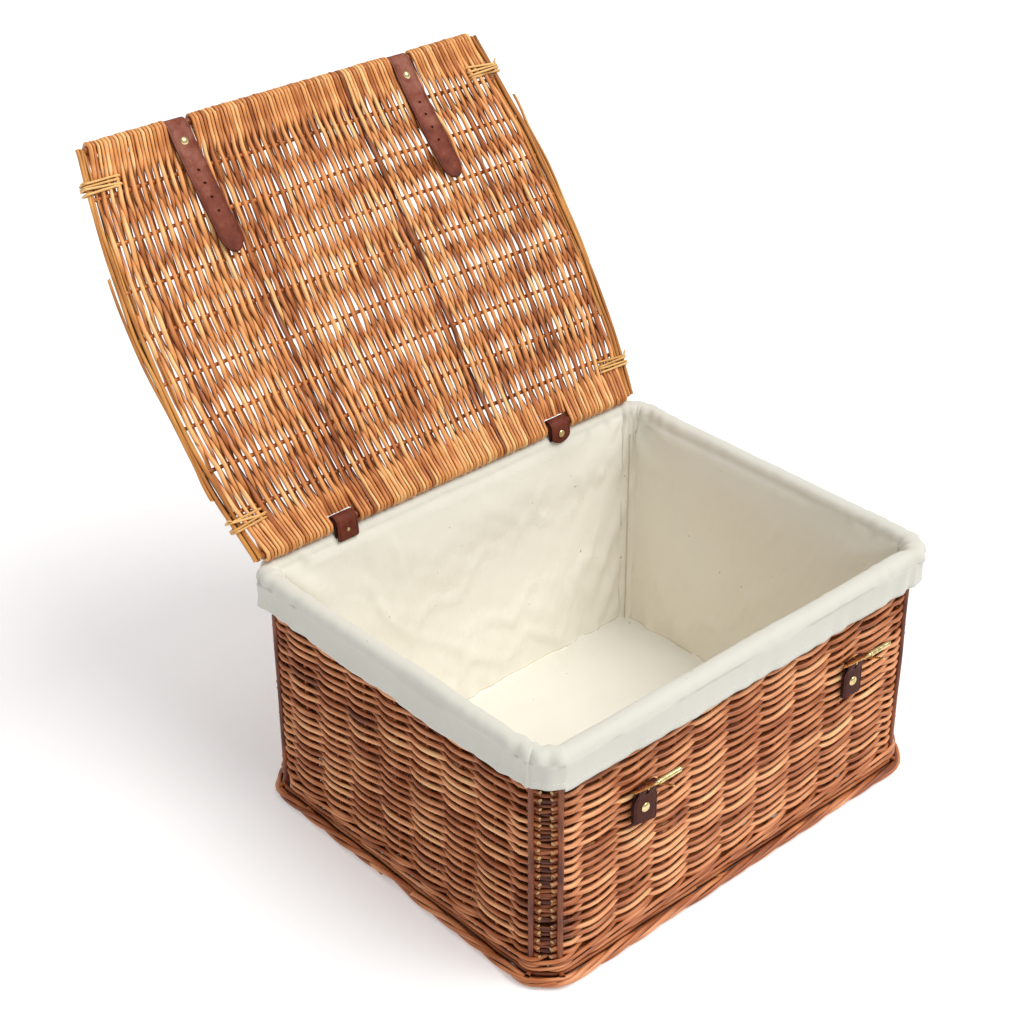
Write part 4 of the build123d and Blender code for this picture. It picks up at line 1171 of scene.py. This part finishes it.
def lining_walls(points):
    # the cloth's face toward the wicker takes the dark brown painted shade, its other face and its
    # rims calico
    ob = grid_mesh("lining_cloth", points, M_SHADE_BACK, "basket", closed_v=True,
                   attrs=cloth_attributes())
    ob.data.materials.append(M_CALICO)
    thick = thicken(ob)
    thick.material_offset = 1
    thick.material_offset_rim = 1
    tell_kit(ob, "calico", "liner_front", "liner_back", "liner_left", "liner_right",
             "liner_cuff")


def lining_floor():
    half_x, half_y = LINING_X + 1.5, LINING_Y + 1.5
    gx, gy = np.meshgrid(np.linspace(-1, 1, 96), np.linspace(-1, 1, 76), indexing="ij")
    x, y = gx * half_x, gy * half_y
    # corners pulled in so that the outline is rounded like the wall of the lining
    over_x = np.maximum(np.abs(gx) * half_x - (LINING_X - 12), 0)
    over_y = np.maximum(np.abs(gy) * half_y - (LINING_Y - 12), 0)
    over = np.hypot(over_x, over_y)
    pull = np.where(over > 13.5, 13.5 / np.maximum(over, 1e-6), 1.0)
    x = np.sign(x) * (np.minimum(np.abs(x), LINING_X - 12) + over_x * pull)
    y = np.sign(y) * (np.minimum(np.abs(y), LINING_Y - 12) + over_y * pull)
    to_edge = np.minimum(half_x - np.abs(x), half_y - np.abs(y))
    swell, ripple, gather = (Wave(61, (120, 90, 90)), Wave(62, (40, 46, 40)),
                             Wave(63, (16, 30, 16)))
    z = (FLOOR_TOP + 1.5 + 1.3 * (swell(x, y) + 1.0) + 0.55 * ripple(x, y)
         + 0.9 * bell(to_edge, 26.0) * gather(x + y, x - y))
    z = np.maximum(z, FLOOR_TOP + 0.9)
    zero = np.zeros(x.shape)
    ob = grid_mesh("lining_floor", np.stack([x, y, z], -1), M_CALICO, "basket", attrs={
        "cloth": np.stack([x * MM, y * MM, zero], -1), "seam": zero, "cool": zero + 0.30})
    thicken(ob)
    smooth = ob.modifiers.new("sub", "SUBSURF")
    smooth.levels = smooth.render_levels = 1
    tell_kit(ob, "calico", "liner_floor")


def lining_seams(points):
    """Cords down the inner corners and round the floor."""
    cords = Rods(8)
    for corner in corner_mid:
        line = points[32:, corner] + np.array([0, 0, 0.2]) - outward[32:, corner] * 0.8
        cords.add(line, 0.75, [0.3, 0.2, 1], 0.5)
    low = N_ROW - 6
    line = points[low] - outward[low] * 0.75
    line = np.concatenate([line, line[:1]])
    line[:, 2] = np.maximum(line[:, 2] - 1.0, FLOOR_TOP + 4.2)
    cords.add(line, 0.6, [0.01, 0.02, 1], 0.5)
    cords.build("lining_seams", M_THREAD, "calico")


def cuff_stitches(points):
    """Running stitch just above the cuff's hem."""
    thread = Rods(6)
    for i in range(0, N_RING, 2):
        a, b = points[1, i], points[1, i + 1]
        normal = outward[1, i]
        middle = (a + b) / 2 + unit(points[3, i] - a) * 4.0 + normal * 0.75
        half = unit(b - a) * 1.25
        dip = normal * 0.35
        thread.add([middle - half - dip, middle, middle + half - dip], 0.17, normal, 0.5)
    thread.build("cuff_stitches", M_CALICO, "calico")


cloth_grid = cloth_points()
lining_walls(cloth_grid)
lining_floor()
lining_seams(cloth_grid)
cuff_stitches(cloth_grid)


# ------------------------------------------------------------------ leather and brass shapes
def smooth_path(points, count, step):
    """Catmull-Rom line of count points through the given ones, respaced by about step."""
    points = np.asarray(points, float)
    points = np.concatenate([[2 * points[0] - points[1]], points, [2 * points[-1] - points[-2]]])
    segments = len(points) - 3
    t = np.linspace(0, segments, count)
    i = np.minimum(t.astype(int), segments - 1)
    f = (t - i)[:, None]
    p0, p1, p2, p3 = points[i], points[i + 1], points[i + 2], points[i + 3]
    line = 0.5 * (2 * p1 + (p2 - p0) * f + (2 * p0 - 5 * p1 + 4 * p2 - p3) * f ** 2
                  + (3 * p1 - p0 - 3 * p2 + p3) * f ** 3)
    dist = run_length(line)
    run = np.linspace(0, dist[-1], max(4, int(dist[-1] / step) + 1))
    return np.column_stack([np.interp(run, dist, line[:, k]) for k in (0, 1)]), run


def arc_points(centre, radius, degrees):
    return [(centre[0] + radius * math.cos(a), centre[1] + radius * math.sin(a))
            for a in np.radians(degrees)]


# leather section, round from the left edge of the face: share of the half width,
# share of the crease inset, shift in mm, height as a share of thickness, edge darkening
LEATHER_SECTION = np.array([
    (-1, 0, 0, 0.12, 0.9), (-1, 0, 0.22, 0.33, 0.7), (-1, 0, 0.75, 0.44, 0.15),
    (-1, 1, -0.45, 0.47, 0.1), (-1, 1, 0, 0.27, 0.8), (-1, 1, 0.45, 0.49, 0.1),
    (-0.55, 0, 0, 0.5, 0), (-0.2, 0, 0, 0.5, 0), (0.2, 0, 0, 0.5, 0), (0.55, 0, 0, 0.5, 0),
    (1, -1, -0.45, 0.49, 0.1), (1, -1, 0, 0.27, 0.8), (1, -1, 0.45, 0.47, 0.1),
    (1, 0, -0.75, 0.44, 0.15), (1, 0, -0.22, 0.33, 0.7), (1, 0, 0, 0.12, 0.9),
    (1, 0, -0.25, -0.38, 0.6), (1, 0, -0.8, -0.5, 0.3), (0.3, 0, 0, -0.5, 0.3),
    (-0.3, 0, 0, -0.5, 0.3), (-1, 0, 0.8, -0.5, 0.3), (-1, 0, 0.25, -0.38, 0.6),
])


def ribbon(name, path, run, x, width, thickness, material, body, seed, crease=2.3,
           normal_sign=1, skew=0.0, tone=0.0):
    """Leather strip: centre line path in (y, z), with side shift x and width at each station."""
    n = len(path)
    along = unit(np.gradient(path, axis=0))
    normal = np.column_stack([-along[:, 1], along[:, 0]]) * normal_sign
    x, width, skew, tone = (np.broadcast_to(value, (n,))[:, None]
                            for value in (x, width, skew, tone))
    half_share, crease_share, shift, height, edge = LEATHER_SECTION.T
    half = width / 2
    across = half * half_share + np.minimum(crease, 0.42 * half) * crease_share + shift
    up = height * thickness * np.minimum(1.0, 0.45 + 0.55 * np.minimum(1.0, half / 2.5))
    wobble = Wave(seed + 700, (40, 40, 40))
    up = up + 0.10 * wobble(across * 1.4, run[:, None]) * (np.abs(across) < half)
    across = np.clip(across, -half, half)
    y, z = (path[:, k:k + 1] + normal[:, k:k + 1] * up + along[:, k:k + 1] * across * skew
            for k in (0, 1))
    return solid_mesh(name, np.stack([x + across, y, z], -1), material, body, attrs={
        "edge": np.broadcast_to(edge, y.shape), "tone": np.broadcast_to(tone, y.shape)})


def cutter_prism(ring, axis, reach):
    """Prism through a closed ring of points, reaching both ways along the axis."""
    n = len(ring)
    mesh = bpy.data.meshes.new("cutter")
    verts = np.concatenate([ring - axis * reach, ring + axis * reach]) * MM
    faces = [tuple(range(n))[::-1], tuple(range(n, 2 * n))]
    faces += [(i, (i + 1) % n, n + (i + 1) % n, n + i) for i in range(n)]
    mesh.from_pydata(verts.tolist(), [], faces)
    face_outward(mesh)
    ob = bpy.data.objects.new("cutter", mesh)
    bpy.context.scene.collection.objects.link(ob)
    return ob


def cut(ob, cutters):
    """Cut closed cutter meshes out of ob, and keep the result as plain mesh."""
    for cutter in cutters:
        boolean = ob.modifiers.new("cut", "BOOLEAN")
        boolean.operation = "DIFFERENCE"
        boolean.solver = "EXACT"
        boolean.object = cutter
    depsgraph = bpy.context.evaluated_depsgraph_get()
    mesh = bpy.data.meshes.new_from_object(ob.evaluated_get(depsgraph))
    ob.modifiers.clear()
    ob.data = mesh
    for cutter in cutters:
        bpy.data.objects.remove(cutter, do_unlink=True)


def lathe(name, profile, origin, axis, body, sides=28):
    """Brass solid of revolution; profile is (radius, height) along the axis."""
    axis = unit(axis)
    a = unit(np.cross(axis, [0.31, 0.2, 0.93]))
    b = np.cross(axis, a)
    profile = np.array(profile, float)
    angle = np.linspace(0, 2 * math.pi, sides, endpoint=False)
    spokes = np.cos(angle)[:, None] * a + np.sin(angle)[:, None] * b
    grid = (np.asarray(origin) + profile[:, 1][:, None, None] * axis
            + profile[:, 0][:, None, None] * spokes[None])
    return solid_mesh(name, grid, M_BRASS, body)


def tube(name, points, radius_n, radius_b, ref, body, closed=False, sides=14):
    """Brass bar of oval section along points."""
    n = len(points)
    if closed:
        along = unit(np.roll(points, -1, 0) - np.roll(points, 1, 0))
    else:
        along = unit(np.gradient(points, axis=0))
    across = unit(np.cross(along, np.broadcast_to(np.asarray(ref, float), (n, 3))))
    normal = unit(np.cross(across, along))
    angle = np.linspace(0, 2 * math.pi, sides, endpoint=False)[None, :, None]
    radius_n, radius_b = (np.broadcast_to(r, (n,))[:, None, None] for r in (radius_n, radius_b))
    grid = (points[:, None] + np.cos(angle) * normal[:, None] * radius_n
            + np.sin(angle) * across[:, None] * radius_b)
    return solid_mesh(name, grid, M_BRASS, body, closed_u=closed)


# rivet head: radius and height as shares
DOME = ((1.0, 0.0), (0.97, 0.14), (0.88, 0.3), (0.8, 0.44), (0.66, 0.62), (0.45, 0.8),
        (0.22, 0.92), (0.02, 0.96))


def rivet_profile(shank, radius, base, height):
    return shank + [(radius * r, base + height * h) for r, h in DOME]


# ------------------------------------------------------------------ straps
strap_box = box_mm("strap_left")
STRAP_W = strap_box[1][0] - strap_box[0][0]
STRAP_LEN = 138.5           # tip to the front rod
STRAP_HOLES = (50, 64, 79, 94)  # from the front rod
HOLE_R = 1.35
# side bend of the free end, shift of the fixed end, wobble seed
STRAP_SHAPE = {"left": (3.0, -4.0, 3), "right": (6.0, -3.0, 9)}
# v from the front rod, and w, from the tip round the rod and back
STRAP_PATH = np.array([
    (-STRAP_LEN, 11.8), (-120, 10.9), (-90, 9.4), (-60, 8.4), (-35, 8.1), (-19, 8.1), (-9, 8.0),
    (-2.5, 7.3), (2.9, 4.9), (5.35, 1.0), (5.0, -2.6), (2.2, -5.1), (-1.6, -5.2), (-4.6, -3.1),
    (-6.8, 0.2), (-10.5, 3.6), (-16, 5.3), (-26, 5.6),
]) + np.array([LID_LEN, 0.0])


def strap(side):
    bend, top, seed = STRAP_SHAPE[side]
    body = "strap_%s_body" % side
    path, run = smooth_path(STRAP_PATH, count=400, step=1.0)
    tip = np.clip(1 - run / 19.0, 0, 1)
    width = STRAP_W + 1.4 * np.clip((138 - run) / 80, 0, 1)
    width = width * np.sqrt(np.clip(1 - tip ** 2.1, 0.0, 1)) * (1 - 0.05 * tip)
    width = np.where(run > run[-1] - 24, STRAP_W - 1.5, np.maximum(width, 1.3))
    free = np.clip(1 - run / 119.0, 0, 1)  # 1 at the tip
    x = STRAP_X[side] + top * (1 - free) ** 2 + bend * free ** 1.6 + top * 0.5 * free
    centre = lid_xyz(np.column_stack([x, path]))
    # painted sheen: the strap is lighter towards the front rod and darker at its tip
    ob = ribbon("strap_%s_leather" % side, centre[:, 1:], run, x, width, 2.4, M_STRAP, body,
                seed, crease=2.2, tone=np.clip(run / 110.0, 0, 1))
    angle = np.linspace(0, 2 * math.pi, 20, endpoint=False)[:, None]
    circle = (np.cos(angle) * np.array([1.0, 0, 0]) + np.sin(angle) * LID_V) * HOLE_R
    holes = [centre[np.argmin(np.abs((STRAP_LEN - run) - dist))] for dist in STRAP_HOLES]
    cut(ob, [cutter_prism(hole + circle, LID_W, 4.0) for hole in holes])
    tell_kit(ob, "leather_strap", "strap_" + side)
    shank = [(0.02, -5.5), (1.2, -5.5), (1.2, -0.4), (4.4, -0.35)]
    rivet = lathe("strap_rivet_%s_brass" % side, rivet_profile(shank, 4.4, 0.3, 1.95),
                  lid_xyz([STRAP_X[side] + top, LID_LEN - 19.0, 9.15]), LID_W, body)
    tell_kit(rivet, "brass", "strap_rivet_" + side)


# ------------------------------------------------------------------ hinge bands
band_box = box_mm("hinge_band_left")
BAND_W = band_box[1][0] - band_box[0][0]
BAND_T = 2.1


def hinge_band(side):
    """A leg up from the rim and round the hinge rod, and a tongue over it, down inside."""
    x = BAND_X[side]
    leg = [(198.0, 232.0), (198.0, 245.0), (198.0, 258.0), (197.9, 270.0)]
    leg += arc_points(HINGE[1:], 5.25, [185, 160, 130, 100, 70, 40, 10, -20, -50, -80, -105])
    path, run = smooth_path(leg, count=300, step=1.0)
    # the leg under the tongue takes the darker tab leather, as painted shade
    under = ribbon("hinge_band_%s_under" % side, path, run, x - 1.2, BAND_W, BAND_T, M_TAB,
                   "basket", seed=20)
    tell_kit(under, "leather_strap")
    tongue = [(194.0, 261.6), (194.0, 266.0), (194.35, 270.5), (195.1, 275.0)]
    tongue += arc_points(HINGE[1:], 7.35, [178, 160, 140, 118, 96, 74, 52, 30])
    path, run = smooth_path(tongue, count=300, step=0.8)
    # the right tongue has a rounded tip and a domed rivet, the left a square tip and a flat one
    shank = [(0.02, -3.5), (1.2, -3.5)]
    if side == "right":
        tip = np.clip(1 - run / 9.5, 0, 1)
        width = np.maximum(BAND_W * np.sqrt(1 - tip ** 2.2), 5.0)
        seed, rivet_at, rivet_parts = 41, (193.35, 272.4), ["hinge_rivets"]
        head = rivet_profile(shank + [(1.2, -0.3), (3.9, -0.3)], 3.9, 0.2, 1.5)
    else:
        tip = np.clip(1 - run / 1.6, 0, 1)
        width = BAND_W * (1 - 0.10 * tip ** 2)
        seed, rivet_at, rivet_parts = 30, (193.45, 272.4), []
        head = shank + [(1.2, 0.0), (1.8, 0.05), (1.9, 0.25), (1.6, 0.4), (0.02, 0.45)]
    over = ribbon("hinge_band_%s_leather" % side, path, run, x, width, BAND_T, M_STRAP,
                  "basket", seed)
    tell_kit(over, "leather_strap", "hinge_band_" + side)
    rivet = lathe("hinge_rivet_%s_brass" % side, head, np.array([x, *rivet_at]),
                  [0, -0.985, 0.17], "basket")
    tell_kit(rivet, "brass", *rivet_parts)


# ------------------------------------------------------------------ buckle tabs
tab_lo, tab_hi = box_mm("buckle_tab_left")
TAB_BACK, TAB_FOOT = tab_hi[1], tab_lo[2]
TAB_RIVET_Z = sum(corner[2] for corner in box_mm("tab_rivets")) / 2
TAB_NECK_W = 24.0
# width low down, skew of the foot, wobble seed
TAB_SHAPE = {"left": (30.0, 0.20, 60), "right": (27.0, 0.05, 77)}


def buckle_tab(side):
    """Doubled leather up the front wall, folded round the buckle's heel bar."""
    x = TAB_X[side]
    low_width, skew, seed = TAB_SHAPE[side]
    heel_y, heel_z = HEEL
    line = [(TAB_BACK - 0.95, TAB_FOOT + 0.5), (TAB_BACK - 0.95, TAB_FOOT + 12),
            (TAB_BACK - 0.95, heel_z - 12), (TAB_BACK - 1.0, heel_z - 3)]
    line += arc_points(HEEL, 2.72, [20, 50, 80, 110, 140, 170])
    line += [(heel_y - 2.3, heel_z - 3.5), (TAB_BACK - 3.6, heel_z - 9.0),
             (TAB_BACK - 3.0, heel_z - 14), (TAB_BACK - 2.95, TAB_FOOT + 12),
             (TAB_BACK - 2.95, TAB_FOOT + 0.5)]
    path, run = smooth_path(line, count=400, step=0.9)
    z = path[:, 1]
    neck = smoothstep(np.clip((z - 166.0) / 8.0, 0, 1))
    end = np.clip(1 - np.minimum(run, run[-1] - run) / 2.2, 0, 1)
    width = (low_width + (TAB_NECK_W - low_width) * neck) * (1 - 0.12 * end ** 2)
    low = np.clip(1 - (z - TAB_FOOT) / 26.0, 0, 1)
    ob = ribbon("buckle_tab_%s_leather" % side, path, run, x, width, 1.9, M_TAB, "basket", seed,
                crease=2.0, normal_sign=-1,
                skew=np.where(run > run[-1] / 2, 1, -1) * low * skew)
    slot = np.array([[x + dx, heel_y, heel_z + dz]
                     for dx, dz in ((-2.3, -8.5), (2.3, -8.5), (2.3, 6), (-2.3, 6))])
    cut(ob, [cutter_prism(slot, np.array([0, 1.0, 0]), 9.0)])
    tell_kit(ob, "leather_tab", "buckle_tab_" + side)
    shank = [(0.02, -6.5), (1.9, -6.5), (1.9, -0.2), (5.0, -0.15), (5.05, 0.1), (5.0, 0.45)]
    rivet = lathe("tab_rivet_%s_brass" % side, rivet_profile(shank, 4.75, 0.55, 2.1),
                  np.array([x, TAB_BACK - 3.95, TAB_RIVET_Z]), [0, -1, 0], "basket", sides=36)
    tell_kit(rivet, "brass", *(["tab_rivets"] if side == "left" else []))


# ------------------------------------------------------------------ brass buckles
FRAME_DIR = unit(np.array([0, ROLLER[0] - HEEL[0], ROLLER[1] - HEEL[1]]))
FRAME_LEN = float(np.hypot(ROLLER[0] - HEEL[0], ROLLER[1] - HEEL[1]))
FRAME_R = 1.6
frame_box = box_mm("buckle_frame_left")
FRAME_HALF = (frame_box[1][0] - frame_box[0][0]) / 2 - FRAME_R
BEND_R = 1.9
# roller: radius, distance along its axis
ROLLER_PROFILE = (
    (1.72, -13.4), (2.3, -13.5), (2.62, -13.2), (2.66, -12.6), (2.6, -11.8), (2.6, -4),
    (2.62, 0), (2.6, 4), (2.6, 11.8), (2.66, 12.6), (2.62, 13.2), (2.3, 13.5), (1.72, 13.4))


def frame_line(heel):
    """Rounded rectangle from the heel bar to the roller bar, in steps of 3 mm or more."""
    x_axis = np.array([1.0, 0, 0])
    near, far, side = BEND_R, FRAME_LEN - BEND_R, FRAME_HALF - BEND_R
    bends = []
    for cx, cl, first in ((side, near, -90), (side, far, 0), (-side, far, 90), (-side, near, 180)):
        for a in np.radians(first + np.linspace(0, 90, 7)):
            bends.append(heel + x_axis * (cx + BEND_R * math.cos(a))
                         + FRAME_DIR * (cl + BEND_R * math.sin(a)))
    line = []
    for a, b in zip(bends, bends[1:] + bends[:1]):
        steps = max(1, int(np.linalg.norm(b - a) / 3))
        line += [a + (b - a) * k / steps for k in range(steps)]
    return np.array(line)


def buckle(side):
    x = TAB_X[side]
    heel = np.array([x, HEEL[0], HEEL[1]])
    line = frame_line(heel)
    at_side = np.clip((np.abs(line[:, 0] - x) - (FRAME_HALF - 1.2)) / 1.2, 0, 1)
    ob = tube("buckle_frame_%s_brass" % side, line, FRAME_R, FRAME_R + 0.35 * at_side,
              unit(np.cross([1.0, 0, 0], FRAME_DIR)), "buckle_" + side, closed=True)
    tell_kit(ob, "brass", "buckle_frame_" + side)
    ob = lathe("buckle_roller_%s_brass" % side, ROLLER_PROFILE, heel + FRAME_DIR * FRAME_LEN,
               [1, 0, 0], "roller_" + side, sides=24)
    tell_kit(ob, "brass", "buckle_roller_" + side)
    # prong: a slightly bowed pin, curled round the heel bar
    tilt = math.radians(30.0)
    pin_dir = np.array([0, -math.cos(tilt), math.sin(tilt)])
    pin_up = np.array([0, math.sin(tilt), math.cos(tilt)])
    t = np.linspace(0, 1, 26)
    pin = (heel + pin_dir * (3.0 + 37.4 * t)[:, None]
           + pin_up * (2.0 + 1.7 * np.sin(t * math.pi * 0.9) - 1.9 * t)[:, None])
    ob = tube("buckle_prong_%s_brass" % side, pin,
              np.interp(t, [0, 0.1, 0.8, 1.0], [1.45, 1.3, 1.05, 0.7]),
              np.interp(t, [0, 0.12, 0.9, 1], [1.7, 1.35, 1.05, 0.75]),
              [0, 0.3, 1], "prong_" + side, sides=12)
    tell_kit(ob, "brass", "buckle_prong_" + side)
    curl = np.array([(x, y, z) for y, z in arc_points(HEEL, 2.55, np.linspace(-35, 262, 26)[::-1])])
    ob = tube("buckle_prong_%s_curl" % side, curl, 0.75, 1.75, [1, 0, 0.01], "prong_" + side,
              sides=12)
    tell_kit(ob, "brass")


for build_piece in (strap, hinge_band, buckle_tab, buckle):
    for piece_side in SIDES:
        build_piece(piece_side)


# ------------------------------------------------------------------ floor, light, camera
def studio_floor(half=14.0, z=-0.0005):
    """White floor, clear when seen from below; sizes in metres."""
    sh = Shader("studio_white")
    sh.surface({"Base Color": (0.74, 0.74, 0.745), "Emission Color": (1.0, 1.0, 1.0),
                "Emission Strength": 0.30, "Roughness": 0.85, "Specular IOR Level": 0.1})
    below = sh.node("ShaderNodeNewGeometry").outputs["Backfacing"]
    clear = sh.node("ShaderNodeBsdfTransparent").outputs[0]
    mix = sh.node("ShaderNodeMixShader", {0: below, 1: sh.bsdf.outputs[0], 2: clear})
    sh.put(sh.output.inputs["Surface"], mix.outputs[0])
    mesh = bpy.data.meshes.new("floor")
    mesh.from_pydata([(-half, -half, z), (half, -half, z), (half, half, z), (-half, half, z)],
                     [], [(0, 1, 2, 3)])
    mesh.materials.append(sh.material)
    ob = bpy.data.objects.new("floor", mesh)
    bpy.context.scene.collection.objects.link(ob)


def studio_world(light_strength=0.52, seen_strength=1.0):
    """White world, brighter to the camera than as a light."""
    world = bpy.data.worlds.new("studio")
    bpy.context.scene.world = world
    world.use_nodes = True
    nodes, links = world.node_tree.nodes, world.node_tree.links
    light, seen = nodes["Background"], nodes.new("ShaderNodeBackground")
    for background, strength in ((light, light_strength), (seen, seen_strength)):
        background.inputs[0].default_value = (1.0, 1.0, 1.0, 1)
        background.inputs[1].default_value = strength
    path, mix = nodes.new("ShaderNodeLightPath"), nodes.new("ShaderNodeMixShader")
    links.new(path.outputs["Is Camera Ray"], mix.inputs[0])
    links.new(light.outputs[0], mix.inputs[1])
    links.new(seen.outputs[0], mix.inputs[2])
    links.new(mix.outputs[0], nodes["World Output"].inputs[0])


def add_light(name, kind, aim, location=(0, 0, 0), **settings):
    """A lamp at location that shines along aim."""
    lamp = bpy.data.lights.new(name, kind)
    for key, value in settings.items():
        setattr(lamp, key, value)
    ob = bpy.data.objects.new(name, lamp)
    ob.location = location
    ob.rotation_euler = aim.to_track_quat("-Z", "Y").to_euler()
    bpy.context.scene.collection.objects.link(ob)


def add_camera(place, yaw, pitch, roll, lens):
    """Camera at place (m), yaw from +Y towards +X, pitch downward, angles in degrees."""
    data = bpy.data.cameras.new("photo_camera")
    ob = bpy.data.objects.new("photo_camera", data)
    bpy.context.scene.collection.objects.link(ob)
    yaw, pitch, roll = math.radians(yaw), math.radians(pitch), math.radians(roll)
    forward = np.array([math.sin(yaw) * math.cos(pitch), math.cos(yaw) * math.cos(pitch),
                        -math.sin(pitch)])
    level = np.array([math.cos(yaw), -math.sin(yaw), 0.0])
    upright = np.cross(level, forward)
    right = level * math.cos(roll) + upright * math.sin(roll)
    up = upright * math.cos(roll) - level * math.sin(roll)
    rows = np.column_stack([right, up, -forward, place]).tolist()
    ob.matrix_world = Matrix((*rows, (0, 0, 0, 1)))
    data.sensor_width = 36.0
    data.lens = lens
    data.clip_start = 0.05
    bpy.context.scene.camera = ob


studio_floor()
studio_world()
bpy.context.scene.view_settings.view_transform = "Standard"
add_light("key", "SUN", Vector((-0.26, 0.46, -0.85)), energy=2.55, angle=math.radians(42),
          color=(1.0, 0.985, 0.955))
fill_place = (-2.4, -1.2, 1.6)
add_light("fill", "AREA", Vector((0, 0, 0.2)) - Vector(fill_place), fill_place,
          shape="DISK", size=2.0, energy=4, color=(0.96, 0.98, 1.0))
add_camera(place=(-1.2108, -1.2276, 1.3502), yaw=41.95, pitch=30.97, roll=-0.33, lens=73.107)
